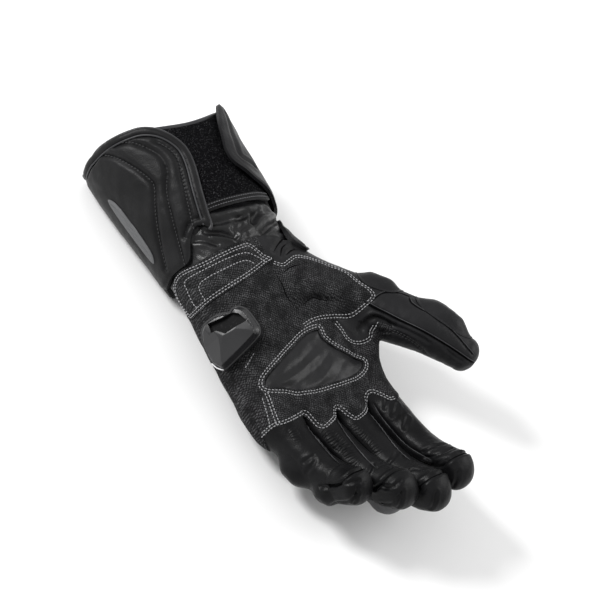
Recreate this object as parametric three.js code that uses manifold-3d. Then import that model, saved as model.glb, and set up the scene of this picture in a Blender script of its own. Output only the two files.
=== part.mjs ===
// A long-cuffed leather motorcycle glove for the left hand, lying on its back with the palm up.
// Millimetres: +X to the little finger's side, +Y to the fingertips, +Z up out of the palm.
import * as THREE from 'three';
import { mergeVertices } from 'three/addons/utils/BufferGeometryUtils.js';
import Module from 'manifold-3d';

const wasm = await Module();
wasm.setup();

// Driving dimensions
const WALL = 2; // leather with its lining
const FLAP_THICK = 2.4;
const STRAP_THICK = 2.2;
const TAPE_THICK = 1.2;
const HEEL_THICK = 1.5;
const LEAF_THICK = 1.4;
const INLAY_THICK = 0.9;
const BINDING = 1.2; // radius of the bead round the cuff's mouth
const PIPING = 1.5; // radius of the bead along the outer flap
const PIPING_RISE = 0.6; // how far that bead sits above the flap's middle
const BEAD_SIDES = 5;
const GAP = 0.3; // between two pieces that touch
const ORIGIN = new THREE.Vector3(-29.83, 53.33, 0); // the middle of the glove's footprint
const ROUND = 28; // corners of a section through hand or cuff
const CUFF_RADIUS = 44;
const CUFF_AXIS = { x: 2, z: 36 }; // roughly the middle of the cuff
const CUFF_SHARES = [0, 0.16, 0.33, 0.5, 0.67, 0.84, 1]; // where its sections are, from mouth to wrist
const HAND_RINGS = [-12, 6, 22, 38, 53, 67, 81, 95, 108]; // where the hand's sections are
const LIMB_ROUND = 14; // corners of a section through a finger
const BODY_POWER = 2.3; // how square a section of the hand is
const LIMB_POWER = 2.2;
const WRIST_SEAM = 5; // where the cuff is sewn to the hand
const SIDE_SEAM = 25; // height of the seam between palm and back
const KNUCKLES = 120; // where the hand ends and the fingers part
const KNUCKLE_ROUND = 12; // length over which it narrows there
const KNUCKLE_STEPS = [0.45, 0.8, 1];
const TIP_STEPS = [0.5, 0.82, 0.97]; // sections of a fingertip's dome, as shares of its radius
const RIM = -90; // the cuff's mouth, at its sides
const RIM_PALM = 11; // how much shorter the cuff is on the palm side
const RIM_BACK = 4; // and longer on its back
const FAR = 400; // larger than the glove
const FINEST = 0.05; // detail lost where a cut leaves slivers

// Sections of cuff and hand: place along the glove, middle, half width, lowest and highest point
const SECTIONS = [
  { y: -100, x: 4, half: 46, low: -3, high: 75 },
  { y: -80, x: 4, half: 45, low: -3, high: 73 },
  { y: -60, x: 3, half: 44, low: -3, high: 71 },
  { y: -30, x: 0, half: 43, low: -2, high: 67 },
  { y: -5, x: -1, half: 41, low: -2, high: 62 },
  { y: 20, x: -1, half: 42, low: -2, high: 59 },
  { y: 45, x: -2, half: 45, low: -2, high: 55 },
  { y: 70, x: -4, half: 47.5, low: -3, high: 50 },
  { y: 95, x: -6, half: 49.5, low: -3, high: 45 },
  { y: 118, x: -8, half: 50, low: -2, high: 39 },
  { y: 130, x: -8, half: 50, low: -1, high: 38 },
];
const HOLLOW = { depth: 5, x: -2, y: 80, width: 20, length: 34 }; // the cup of the palm

// Fingers: root, heading off +Y, bone lengths, how steeply each bone rises, half widths, seam at the root
const FINGERS = [
  { name: 'index', root: [-45, 104, 24], heading: 4, bones: [50, 28, 20], rise: [8, 27, 46],
    half: [13.4, 12.6, 12, 11], seam: 122, left: -78, right: -31.5 },
  { name: 'middle', root: [-18, 106, 22], heading: 7, bones: [53, 30, 20], rise: [7, 26, 46],
    half: [13.2, 12.6, 12.2, 11.2], seam: 125, left: -31.5, right: -6 },
  { name: 'ring', root: [7, 104, 23], heading: 9, bones: [50, 28, 20], rise: [7, 28, 48],
    half: [12.8, 12.3, 11.9, 11], seam: 123, left: -6, right: 18 },
  { name: 'little', root: [31, 98, 25], heading: 9, bones: [46, 24, 19], rise: [3, 26, 50],
    half: [12.2, 11.8, 11.2, 10.4], seam: 121, left: 18, right: 60 },
];
const FINGER_DEPTH = 1.04; // palm to back, over the width
const TIP_SEAM = 0.86; // where the fingertip's cap starts, along the finger
const STALL_START = 0.08; // a finger's own piece starts past this share of its length
const SEAM_SHARE = 0.0035; // the gap at a seam across a finger, as a share of its length
const FINGER_GAP = 0.5; // between fingers that lie against each other
const LIMB_RINGS = 10; // sections from a finger's root to its tip
const LINING_RINGS = 6; // the same for the inner face
const KNUCKLE_PADS = [[5.35, 6, 6.6, 7], [7.3, 8, 8.6, 9]]; // their rows, counted in those sections
const PAD_AT = 10; // the section's corner at the middle of the finger's back
const PAD_LIFT = 3.2;

// Thumb: points along its middle and half widths there
const THUMB = {
  middle: [[-26, 30, 36], [-59, 58, 43], [-85, 92, 55], [-108, 124, 59]],
  half: [22, 18, 15.5, 12],
  seam: 0.36,
  tip: 0.88,
};
const THUMB_PADS = [
  { name: 'thumb_pad_lower', rows: [4, 4.5, 5, 5.6], lift: 3.6 },
  { name: 'thumb_pad_upper', rows: [6.5, 7, 8, 8.6], lift: 3 },
];
const THUMB_PAD_AT = 6;
const WEB = { middle: [[-48, 60, 38], [-59, 80, 37], [-50, 101, 26]], half: [13, 10, 9] };

// Sheets that lie on the glove. A column is at a place round the glove, counted in corners of a
// section from the little finger's side over the palm, and holds where the sheet starts and ends there
// along the glove and how high it lies. A start of null is at the cuff's mouth.
const CLOSE = 0.5; // on the faceted leather
const OVER_TAPE = 2.2; // over the loop tape
const OVER_FLAP = 3.3; // on the outer flap
const OUTER_FLAP = [
  { at: -4, from: null, to: -4, lift: CLOSE },
  { at: -3, from: null, to: -2, lift: CLOSE },
  { at: -2, from: null, to: 0, lift: CLOSE },
  { at: -1, from: null, to: 0, lift: CLOSE },
  { at: 0, from: null, to: 0, lift: CLOSE },
  { at: 1, from: null, to: -1, lift: CLOSE },
  { at: 2, from: null, to: -2.4, lift: CLOSE },
  { at: 3, from: null, to: -5, lift: CLOSE },
  { at: 3.6, from: null, to: -7, lift: CLOSE },
  { at: 4, from: -82.6, to: -9, lift: 1.2 },
  { at: 4.3, from: -80.6, to: -11.5, lift: OVER_TAPE },
  { at: 4.65, from: -77.6, to: -20, lift: OVER_TAPE },
  { at: 5, from: -74, to: -29, lift: OVER_TAPE },
  { at: 5.35, from: -67.6, to: -38, lift: OVER_TAPE },
  { at: 5.6, from: -58, to: -48, lift: OVER_TAPE },
];
const INLAY = [
  { at: -1.3, from: -62, to: -15, lift: OVER_FLAP },
  { at: -1, from: -62, to: -15, lift: OVER_FLAP },
  { at: 0, from: -62, to: -15, lift: OVER_FLAP },
];
const CLOSING_FLAP = [
  { at: 7.95, from: -49, to: -42, lift: 5 },
  { at: 8.4, from: -61.5, to: -37.2, lift: 4.6 },
  { at: 9, from: -74.6, to: -30.6, lift: 4 },
  { at: 9.8, from: -85, to: -25.5, lift: 3.2 },
  { at: 10.6, from: -86.8, to: -21.5, lift: 2.6 },
  { at: 11.5, from: -88.4, to: -16.8, lift: 2.2 },
  { at: 12, from: -89, to: -15.4, lift: 1.8 },
  { at: 13, from: -89.8, to: -13.8, lift: 0.9 },
  { at: 14, from: null, to: -13.4, lift: CLOSE },
  { at: 15, from: null, to: -13.4, lift: CLOSE },
  { at: 16, from: null, to: -13.8, lift: CLOSE },
  { at: 17, from: null, to: -15.4, lift: CLOSE },
  { at: 18, from: null, to: -18, lift: CLOSE },
];
const LOOP_PANEL = [
  { at: 4.45, from: -70, to: -22, lift: CLOSE },
  { at: 5, from: -75.4, to: -22, lift: CLOSE },
  { at: 6, from: -76.8, to: -22, lift: CLOSE },
  { at: 7, from: -77, to: -22, lift: CLOSE },
  { at: 8, from: -76.8, to: -22, lift: CLOSE },
  { at: 9, from: -76, to: -22, lift: CLOSE },
  { at: 9.6, from: -72, to: -22, lift: CLOSE },
  { at: 10, from: -62, to: -23, lift: CLOSE },
];
const WRIST_STRAP = [
  { at: 10.6, from: -6, to: 4, lift: CLOSE },
  { at: 11.2, from: -10, to: 9, lift: CLOSE },
  { at: 12, from: -11, to: 10, lift: CLOSE },
  { at: 13, from: -11, to: 10, lift: CLOSE },
  { at: 14, from: -11, to: 10, lift: CLOSE },
  { at: 15, from: -11, to: 10, lift: CLOSE },
  { at: 16, from: -11, to: 10, lift: CLOSE },
  { at: 17, from: -11, to: 10, lift: CLOSE },
  { at: 17.75, from: -10, to: 9, lift: CLOSE },
];
// Scuff panel at the heel of the hand
const HEEL_PANEL = [
  { at: -1.6, from: 6, to: 24, lift: CLOSE },
  { at: -1, from: 6, to: 27, lift: CLOSE },
  { at: 0, from: 6, to: 29, lift: CLOSE },
  { at: 1, from: 6, to: 29.8, lift: CLOSE },
  { at: 2, from: 6, to: 30, lift: CLOSE },
  { at: 3, from: 6.6, to: 30, lift: CLOSE },
  { at: 4, from: 7, to: 29, lift: CLOSE },
  { at: 5, from: 7, to: 28, lift: CLOSE },
  { at: 6, from: 6.8, to: 26, lift: CLOSE },
  { at: 6.5, from: 6.8, to: 25, lift: CLOSE },
  { at: 7, from: 13, to: 24, lift: CLOSE },
  { at: 7.55, from: 20.6, to: 23, lift: CLOSE },
];
// Smooth leather leaf in the middle of the palm, seen from above
const LEAF = [
  [-19, 66], [-8, 68], [3, 72.5], [18, 79], [29, 84.5], [34, 89], [33, 95], [23, 99.5],
  [12, 103.5], [-8, 105], [-24, 105], [-38, 101], [-42, 96], [-36, 90], [-27, 83], [-22, 75],
];
// Hard slider on the heel of the hand, seen along its own normal, and its pose
const SLIDER = {
  centre: [39.5, 53.5, 42.5],
  normal: [0.74, 0.08, 0.67],
  outline: [[-17, -9], [-12, -15], [4, -17], [13, -13], [17, -4], [15, 6], [3, 17], [-8, 18], [-16, 8]],
  window: [[-11, -1], [-9, -12], [4, -13], [9, -8], [1, 0]],
  foot: 1.1, // its size over the shell's
  base: 1.2, // the foot's thickness
  bottom: -14,
  floor: 3.6, // of the window
  top: 5.8,
  above: 20,
  bevel: 1.9,
};

// Tables

function lerp(a, b, t) {
  return a + (b - a) * t;
}

// Smooth value of a column of a table between its rows
function column(rows, key, t) {
  const i = Math.min(Math.floor(t), rows.length - 2);
  const f = t - i;
  const at = (k) => rows[THREE.MathUtils.clamp(k, 0, rows.length - 1)][key];
  const [a, b, c, d] = [at(i - 1), at(i), at(i + 1), at(i + 2)];
  return 0.5 * (2 * b + (c - a) * f + (2 * a - 5 * b + 4 * c - d) * f * f + (3 * b - a - 3 * c + d) * f ** 3);
}

// The row number, with a fraction, at which a table's rising column has a value
function rowAt(rows, key, value) {
  let i = 0;
  while (i < rows.length - 2 && rows[i + 1][key] < value) i += 1;
  return i + THREE.MathUtils.clamp((value - rows[i][key]) / (rows[i + 1][key] - rows[i][key]), 0, 1);
}

// The body: cuff and hand

function rounded(angle, power) {
  const c = Math.cos(angle);
  const s = Math.sin(angle);
  const r = (Math.abs(c) ** power + Math.abs(s) ** power) ** (-1 / power);
  return [c * r, s * r];
}

function cup(x, y) {
  const [u, v] = [(x - HOLLOW.x) / HOLLOW.width, (y - HOLLOW.y) / HOLLOW.length];
  return HOLLOW.depth * Math.exp(-u * u - v * v);
}

// A point at an angle round the glove (0 little finger's side, 90 palm), lifted off its outer face
function onBody(angle, y, lift, shrink = 1) {
  const t = rowAt(SECTIONS, 'y', y);
  const [low, high] = [column(SECTIONS, 'low', t), column(SECTIONS, 'high', t)];
  const [c, s] = rounded(angle, BODY_POWER);
  const x = column(SECTIONS, 'x', t) + (column(SECTIONS, 'half', t) + lift) * c * shrink;
  const up = ((high - low) / 2 + lift) * s * shrink;
  const dip = cup(x, y) * THREE.MathUtils.clamp(s * 2, 0, 1);
  return new THREE.Vector3(x, y, Math.max((low + high) / 2 + up - dip, Math.max(0, -lift)));
}

function bodyRing(y, lift, shrink = 1) {
  return Array.from({ length: ROUND }, (_, i) => onBody((i / ROUND) * 2 * Math.PI, y, lift, shrink));
}

// The cuff's mouth is slanted: it is shorter on the palm side
function mouth(angle) {
  const s = Math.sin(angle);
  return RIM + (s > 0 ? RIM_PALM : -RIM_BACK) * s * s;
}

function cuffRing(share, lift) {
  return Array.from({ length: ROUND }, (_, i) => {
    const angle = (i / ROUND) * 2 * Math.PI;
    return onBody(angle, lerp(mouth(angle), WRIST_SEAM, share), lift);
  });
}

// Closed meshes from rings and grids

function geometryOf(points, faces) {
  const geometry = new THREE.BufferGeometry();
  geometry.setFromPoints(points);
  const volume = faces.reduce((sum, [a, b, c]) => {
    return sum + points[a].dot(new THREE.Vector3().crossVectors(points[b], points[c]));
  }, 0);
  geometry.setIndex(volume > 0 ? faces.flat() : faces.map(([a, b, c]) => [a, c, b]).flat());
  return geometry;
}

function quad(a, b, c, d) {
  return [[a, b, c], [a, c, d]];
}

// A solid through rings, closed at both ends
function stack(rings) {
  const n = rings[0].length;
  const points = rings.flat();
  const faces = [];
  for (let i = 0; i + 1 < rings.length; i += 1) {
    for (let j = 0; j < n; j += 1) {
      const k = (j + 1) % n;
      faces.push(...quad(i * n + j, i * n + k, (i + 1) * n + k, (i + 1) * n + j));
    }
  }
  const end = (ring, start, flip) => {
    const middle = points.length;
    points.push(ring.reduce((sum, p) => sum.add(p), new THREE.Vector3()).divideScalar(n));
    for (let j = 0; j < n; j += 1) {
      const k = (j + 1) % n;
      faces.push(flip ? [middle, start + k, start + j] : [middle, start + j, start + k]);
    }
  };
  end(rings[0], 0, true);
  end(rings[rings.length - 1], (rings.length - 1) * n, false);
  return geometryOf(points, faces);
}

// A wall that runs round through outer and back through inner rings
function wall(outer, inner) {
  const n = outer[0].length;
  const rings = [...outer, ...[...inner].reverse()];
  const points = rings.flat();
  const faces = [];
  for (let i = 0; i < rings.length; i += 1) {
    const next = (i + 1) % rings.length;
    for (let j = 0; j < n; j += 1) {
      const k = (j + 1) % n;
      faces.push(...quad(i * n + j, i * n + k, next * n + k, next * n + j));
    }
  }
  return geometryOf(points, faces);
}

// A curved sheet between an outer and an inner grid of points
function sheet(outer, inner) {
  const [rows, n] = [outer.length, outer[0].length];
  const points = [...outer.flat(), ...inner.flat()];
  const faces = [];
  for (let i = 0; i + 1 < rows; i += 1) {
    for (let j = 0; j + 1 < n; j += 1) {
      const [a, b, c, d] = [i * n + j, i * n + j + 1, (i + 1) * n + j + 1, (i + 1) * n + j];
      faces.push(...quad(a, b, c, d));
      faces.push(...quad(rows * n + a, rows * n + d, rows * n + c, rows * n + b));
    }
  }
  const edge = [];
  for (let j = 0; j < n; j += 1) edge.push(j);
  for (let i = 1; i < rows; i += 1) edge.push(i * n + n - 1);
  for (let j = n - 2; j >= 0; j -= 1) edge.push((rows - 1) * n + j);
  for (let i = rows - 2; i > 0; i -= 1) edge.push(i * n);
  edge.forEach((a, i) => {
    const b = edge[(i + 1) % edge.length];
    faces.push(...quad(b, a, rows * n + a, rows * n + b));
  });
  return geometryOf(points, faces);
}

// Cutting and joining

function solid(geometry) {
  const plain = geometry.clone();
  ['normal', 'uv'].forEach((name) => plain.deleteAttribute(name));
  const merged = mergeVertices(plain, 1e-4);
  return new wasm.Manifold(new wasm.Mesh({
    numProp: 3,
    vertProperties: new Float32Array(merged.attributes.position.array),
    triVerts: new Uint32Array(merged.index.array),
  }));
}

function geometryFrom(body) {
  const { vertProperties, triVerts } = body.simplify(FINEST).getMesh();
  const geometry = new THREE.BufferGeometry();
  geometry.setAttribute('position', new THREE.BufferAttribute(new Float32Array(vertProperties), 3));
  geometry.setIndex(new THREE.BufferAttribute(new Uint32Array(triVerts), 1));
  return geometry;
}

function joined(bodies) {
  return bodies.reduce((all, one) => all.add(one));
}

// Everything on the far side of a plane through a point
function beyond(point, direction) {
  const normal = new THREE.Vector3(...direction).normalize();
  const block = new THREE.BoxGeometry(FAR, FAR, FAR);
  block.applyQuaternion(new THREE.Quaternion().setFromUnitVectors(new THREE.Vector3(0, 0, 1), normal));
  const middle = new THREE.Vector3(...point).addScaledVector(normal, FAR / 2);
  return solid(block.translate(middle.x, middle.y, middle.z));
}

// The stepped line of the fingers' seams: everything past it, or short of it and grown
function pastSeams() {
  return joined(FINGERS.map(({ left, right, seam }) => {
    const block = new THREE.BoxGeometry(right - left, FAR, FAR);
    return solid(block.translate((left + right) / 2, seam + FAR / 2, 0));
  }));
}

function shortOfSeams() {
  return joined(FINGERS.map(({ left, right, seam }) => {
    const block = new THREE.BoxGeometry(right - left + 2 * GAP, FAR, FAR);
    return solid(block.translate((left + right) / 2, seam + GAP - FAR / 2, 0));
  }));
}

// Fingers and thumb

function fingerMiddle({ root, heading, bones, rise }) {
  const along = THREE.MathUtils.degToRad(heading);
  const points = [new THREE.Vector3(...root)];
  bones.forEach((length, i) => {
    const up = THREE.MathUtils.degToRad(rise[i]);
    const flat = Math.cos(up);
    const bone = new THREE.Vector3(-Math.sin(along) * flat, Math.cos(along) * flat, Math.sin(up));
    points.push(points[i].clone().addScaledVector(bone, length));
  });
  return points;
}

function limb(points, half, depth, domed = false) {
  const curve = new THREE.CatmullRomCurve3(points, false, 'catmullrom', 0.5);
  return { curve, half, depth, domed, stop: 1 - half[half.length - 1] / curve.getLength() };
}

// The frame of a section: its middle, the way along, to the side and to the palm, and its half width
function frameAt({ curve, half }, share) {
  const t = curve.getUtoTmapping(share);
  const along = curve.getTangent(t);
  const side = new THREE.Vector3().crossVectors(along, new THREE.Vector3(0, 0, 1)).normalize();
  const palm = new THREE.Vector3().crossVectors(side, along);
  const row = t * (half.length - 1);
  const i = Math.min(Math.floor(row), half.length - 2);
  return { middle: curve.getPoint(t), along, side, palm, width: lerp(half[i], half[i + 1], row - i) };
}

function onLimb(one, share, angle, lift, shrink = 1, push = 0) {
  const { middle, along, side, palm, width } = frameAt(one, share);
  const [c, s] = rounded(angle, LIMB_POWER);
  return middle.addScaledVector(side, (width + lift) * c * shrink)
    .addScaledVector(palm, (width * one.depth + lift) * s * shrink)
    .addScaledVector(along, push);
}

function limbRing(one, share, lift, shrink = 1, push = 0) {
  return Array.from({ length: LIMB_ROUND }, (_, i) => {
    return onLimb(one, share, ((i + 0.5) / LIMB_ROUND) * 2 * Math.PI, lift, shrink, push);
  });
}

function limbSolid(one, lift, rings = LIMB_RINGS) {
  const tip = one.half[one.half.length - 1] + lift;
  const root = one.half[0] + lift;
  const along = Array.from({ length: rings + 1 }, (_, i) => limbRing(one, (i / rings) * one.stop, lift));
  const cap = TIP_STEPS.map((p) => limbRing(one, one.stop, lift, Math.sqrt(1 - p * p), tip * p));
  const dome = TIP_STEPS.map((p) => limbRing(one, 0, lift, Math.sqrt(1 - p * p), -root * p)).reverse();
  return solid(stack(one.domed ? [...dome, ...along, ...cap] : [...along, ...cap]));
}

// The hand, without its fingers' ends

function handSolid(lift) {
  const end = KNUCKLES + lift;
  const straight = HAND_RINGS.map((y) => bodyRing(y, lift));
  const narrowed = KNUCKLE_STEPS.map((p) => {
    return bodyRing(end - KNUCKLE_ROUND * (1 - p), lift, 1 - 0.2 * (1 - Math.sqrt(1 - p * p * 0.9)));
  });
  return solid(stack([...straight, ...narrowed]));
}

const limbs = FINGERS.map((finger) => limb(fingerMiddle(finger), finger.half, FINGER_DEPTH));
const thumb = limb(THUMB.middle.map((p) => new THREE.Vector3(...p)), THUMB.half, 1, true);
const web = limb(WEB.middle.map((p) => new THREE.Vector3(...p)), WEB.half, 1, true);

// The piece of a thumb or finger past a share of its length
function past(one, share, body) {
  const { middle, along } = frameAt(one, share);
  return body.intersect(beyond(middle, along.toArray()));
}

function shortOf(one, share, body) {
  const { middle, along } = frameAt(one, share);
  return body.subtract(beyond(middle, along.toArray()));
}

function wholeHand(lift) {
  return joined([handSolid(lift), ...[...limbs, thumb, web].map((one) => limbSolid(one, lift))]);
}

// The flat, upright face along which a finger and the next one press on each other
function parted(body, i, back) {
  const faces = [];
  [i - 1, i].filter((k) => k >= 0 && k + 1 < limbs.length).forEach((k) => {
    const [a, b] = [0.2, 0.9].map((share) => {
      const [one, next] = [frameAt(limbs[k], share), frameAt(limbs[k + 1], share)];
      return one.middle.lerp(next.middle, one.width / (one.width + next.width)).setZ(0);
    });
    const away = new THREE.Vector3().crossVectors(b.clone().sub(a), new THREE.Vector3(0, 0, 1)).normalize();
    if (k === i - 1) away.negate();
    faces.push(beyond(a.addScaledVector(away, -(FINGER_GAP / 2 + back)), away.toArray()));
  });
  return faces.reduce((all, one) => all.subtract(one), body);
}

// Materials

const leather = new THREE.MeshStandardMaterial({ color: 0x1c1c1d, roughness: 0.5, metalness: 0 });
const suede = new THREE.MeshStandardMaterial({ color: 0x191919, roughness: 0.85, metalness: 0 });
const tape = new THREE.MeshStandardMaterial({ color: 0x101010, roughness: 0.95, metalness: 0 });
const binding = new THREE.MeshStandardMaterial({ color: 0x303032, roughness: 0.55, metalness: 0 });
const plastic = new THREE.MeshStandardMaterial({ color: 0x2c2d2f, roughness: 0.3, metalness: 0 });

const glove = new THREE.Group();

function place(name, geometry, material) {
  const mesh = new THREE.Mesh(geometry, material);
  mesh.name = name;
  glove.add(mesh);
}

// Cuff

function makeCuff() {
  const outer = CUFF_SHARES.map((share) => cuffRing(share, 0));
  const inner = CUFF_SHARES.map((share) => cuffRing(share, -WALL));
  place('cuff_shell', wall(outer, inner), leather);
}

// A bead of round section along a path of points
function bead(path, radius, closed) {
  const rings = path.map((p, i) => {
    const before = path[closed ? (i + path.length - 1) % path.length : Math.max(i - 1, 0)];
    const after = path[closed ? (i + 1) % path.length : Math.min(i + 1, path.length - 1)];
    const along = after.clone().sub(before).normalize();
    const outward = new THREE.Vector3(p.x - CUFF_AXIS.x, 0, p.z - CUFF_AXIS.z);
    const u = new THREE.Vector3().crossVectors(along, outward).normalize();
    const v = new THREE.Vector3().crossVectors(along, u);
    return Array.from({ length: BEAD_SIDES }, (_, j) => {
      const a = (j / BEAD_SIDES) * 2 * Math.PI;
      return p.clone().addScaledVector(u, radius * Math.cos(a)).addScaledVector(v, radius * Math.sin(a));
    });
  });
  return closed ? wall(rings, []) : stack(rings);
}

function rimBead(radius) {
  const path = Array.from({ length: ROUND }, (_, i) => {
    const angle = (i / ROUND) * 2 * Math.PI;
    const p = onBody(angle, mouth(angle), -WALL / 2);
    p.y -= BINDING + GAP;
    p.z = Math.max(p.z, BINDING);
    return p;
  });
  return bead(path, radius, true);
}

function turned({ at, from, to, lift }) {
  const turn = (at / ROUND) * 2 * Math.PI;
  return { turn, from: from === null ? mouth(turn) : from, to, lift };
}

function wrapped(columns, thickness, along) {
  const grid = (add) => columns.map(turned).map(({ turn, from, to, lift }) => {
    return Array.from({ length: along + 1 }, (_, j) => onBody(turn, lerp(from, to, j / along), lift + add));
  });
  return sheet(grid(thickness), grid(0));
}

// The bead along the free edge of the outer flap, a little outside it
function pipingBead(grow) {
  const columns = OUTER_FLAP.map(turned);
  const front = columns.slice(2).map(({ turn, from, lift }) => ({ turn, y: from, lift }));
  const lower = columns.slice(9).reverse().map(({ turn, to, lift }) => ({ turn, y: to, lift }));
  const edge = [...front, ...lower];
  const flat = edge.map(({ turn, y }) => new THREE.Vector2(turn * CUFF_RADIUS, y));
  const path = edge.map(({ turn, y, lift }, i) => {
    const before = flat[Math.max(i - 1, 0)];
    const after = flat[Math.min(i + 1, flat.length - 1)];
    const along = after.clone().sub(before).normalize();
    const push = PIPING * 0.6;
    const height = lift + FLAP_THICK / 2 + PIPING_RISE;
    return onBody(turn + (along.y * push) / CUFF_RADIUS, y - along.x * push, height);
  });
  [[0, 1], [path.length - 1, path.length - 2]].forEach(([end, next]) => {
    path[end].add(path[end].clone().sub(path[next]).setLength(1.2 * grow));
  });
  return bead(path, PIPING + grow, false);
}

function makeFlaps() {
  const piping = solid(pipingBead(GAP));
  place('rim_binding', rimBead(BINDING), binding);
  place('outer_flap', geometryFrom(solid(wrapped(OUTER_FLAP, FLAP_THICK, 5)).subtract(piping)), leather);
  place('flap_piping', pipingBead(0), binding);
  place('flap_inlay', wrapped(INLAY, INLAY_THICK, 3), plastic);
  place('closing_flap', wrapped(CLOSING_FLAP, FLAP_THICK, 5), leather);
  place('loop_panel', wrapped(LOOP_PANEL, TAPE_THICK, 4), tape);
  place('wrist_strap', wrapped(WRIST_STRAP, STRAP_THICK, 2), leather);
}

// Hand

function makeHand() {
  const root = shortOf(thumb, THUMB.seam, limbSolid(thumb, 0));
  const outer = joined([handSolid(0), root, ...[...limbs, web].map((one) => limbSolid(one, 0))]);
  const hand = outer.subtract(wholeHand(-WALL))
    .intersect(beyond([0, WRIST_SEAM + GAP, 0], [0, 1, 0]))
    .subtract(pastSeams())
    .subtract(past(thumb, THUMB.seam, limbSolid(thumb, GAP)));
  place('palm_panel', geometryFrom(hand.intersect(beyond([0, 0, SIDE_SEAM + GAP / 2], [0, 0, 1]))), suede);
  place('back_panel', geometryFrom(hand.intersect(beyond([0, 0, SIDE_SEAM - GAP / 2], [0, 0, -1]))), leather);
}

// A padded patch on a finger or the thumb: rows along it and two corners each way from its middle
function pad(one, rows, at, lift) {
  const dome = (u) => 1 - (2 * u - 1) ** 4;
  const grid = (height) => rows.map((row, i) => [-2, -1, 0, 1, 2].map((corner) => {
    const turn = ((at + corner + 0.5) / LIMB_ROUND) * 2 * Math.PI;
    const swell = 0.35 + 0.65 * dome((i + 0.5) / rows.length) * dome((corner + 2.4) / 4.8);
    return onLimb(one, (row / LIMB_RINGS) * one.stop, turn, CLOSE + height * swell);
  }));
  return solid(sheet(grid(lift), grid(0)));
}

function makeFingers() {
  const hand = shortOfSeams();
  FINGERS.forEach((finger, i) => {
    const one = limbs[i];
    const outer = parted(limbSolid(one, 0), i, 0);
    const stall = outer.subtract(parted(limbSolid(one, -WALL, LINING_RINGS), i, WALL)).subtract(hand);
    const bare = shortOf(one, TIP_SEAM, past(one, STALL_START, stall));
    place(`${finger.name}_finger`, geometryFrom(bare), leather);
    place(`${finger.name}_tip`, geometryFrom(past(one, TIP_SEAM + SEAM_SHARE, stall)), leather);
    KNUCKLE_PADS.forEach((rows, k) => {
      const padding = parted(pad(one, rows, PAD_AT, PAD_LIFT), i, 0);
      place(`${finger.name}_pad_${k + 1}`, geometryFrom(padding), leather);
    });
  });
}

function makeThumb() {
  const stall = limbSolid(thumb, 0).subtract(limbSolid(thumb, -WALL, LINING_RINGS));
  const bare = shortOf(thumb, THUMB.tip, past(thumb, THUMB.seam + SEAM_SHARE, stall));
  place('thumb', geometryFrom(bare), leather);
  place('thumb_tip', geometryFrom(past(thumb, THUMB.tip + SEAM_SHARE, stall)), leather);
  THUMB_PADS.forEach(({ name, rows, lift }) => {
    place(name, geometryFrom(pad(thumb, rows, THUMB_PAD_AT, lift)), leather);
  });
}

// Panels on the palm

function makeHeelPanel() {
  place('heel_panel', wrapped(HEEL_PANEL, HEEL_THICK, 2), suede);
}

function makeLeaf() {
  const outline = new THREE.Shape(LEAF.map(([x, y]) => new THREE.Vector2(x, y)));
  const prism = new THREE.ExtrudeGeometry(outline, { depth: FAR, bevelEnabled: false });
  const layer = handSolid(GAP + LEAF_THICK).intersect(solid(prism.translate(0, 0, SIDE_SEAM)));
  place('palm_leaf', geometryFrom(layer.subtract(wholeHand(GAP))), leather);
}

// Hard slider: a foot cut to the hand's curve and a faceted shell with a sunk window

function sliderGeometry(points, low, high, bevel) {
  const outline = new THREE.Shape(points.map(([x, y]) => new THREE.Vector2(x, y)));
  return new THREE.ExtrudeGeometry(outline, {
    depth: high - low - bevel,
    bevelEnabled: bevel > 0,
    bevelThickness: bevel,
    bevelSize: bevel * 1.2,
    bevelOffset: -bevel * 1.2,
    bevelSegments: 1,
  }).translate(0, 0, low);
}

function onSlider(geometry) {
  const normal = new THREE.Vector3(...SLIDER.normal).normalize();
  const across = new THREE.Vector3(0, 1, 0).cross(normal).normalize();
  const along = new THREE.Vector3().crossVectors(normal, across);
  const frame = new THREE.Matrix4().makeBasis(across, along, normal).setPosition(...SLIDER.centre);
  return solid(geometry.applyMatrix4(frame));
}

function makeSlider() {
  const { outline, window, foot, base, bottom, floor, top, above, bevel } = SLIDER;
  const wide = outline.map(([x, y]) => [x * foot, y * foot]);
  const skirt = onSlider(sliderGeometry(wide, bottom, above, 0)).intersect(handSolid(GAP + base));
  place('slider_foot', geometryFrom(skirt.subtract(wholeHand(GAP))), plastic);
  const block = onSlider(sliderGeometry(outline, bottom, top, bevel));
  const shell = block.subtract(onSlider(sliderGeometry(window, floor, above, 0)));
  place('slider_shell', geometryFrom(shell.subtract(handSolid(base + 2 * GAP))), plastic);
}

makeCuff();
makeFlaps();
makeHand();
makeFingers();
makeThumb();
makeHeelPanel();
makeLeaf();
makeSlider();
glove.position.copy(ORIGIN).negate();

export default glove;
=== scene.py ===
"""A left-hand leather motorcycle glove, lying on its back with the palm up."""
import math

import bpy
import numpy as np
from mathutils import Matrix, Vector
from mathutils.kdtree import KDTree


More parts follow.
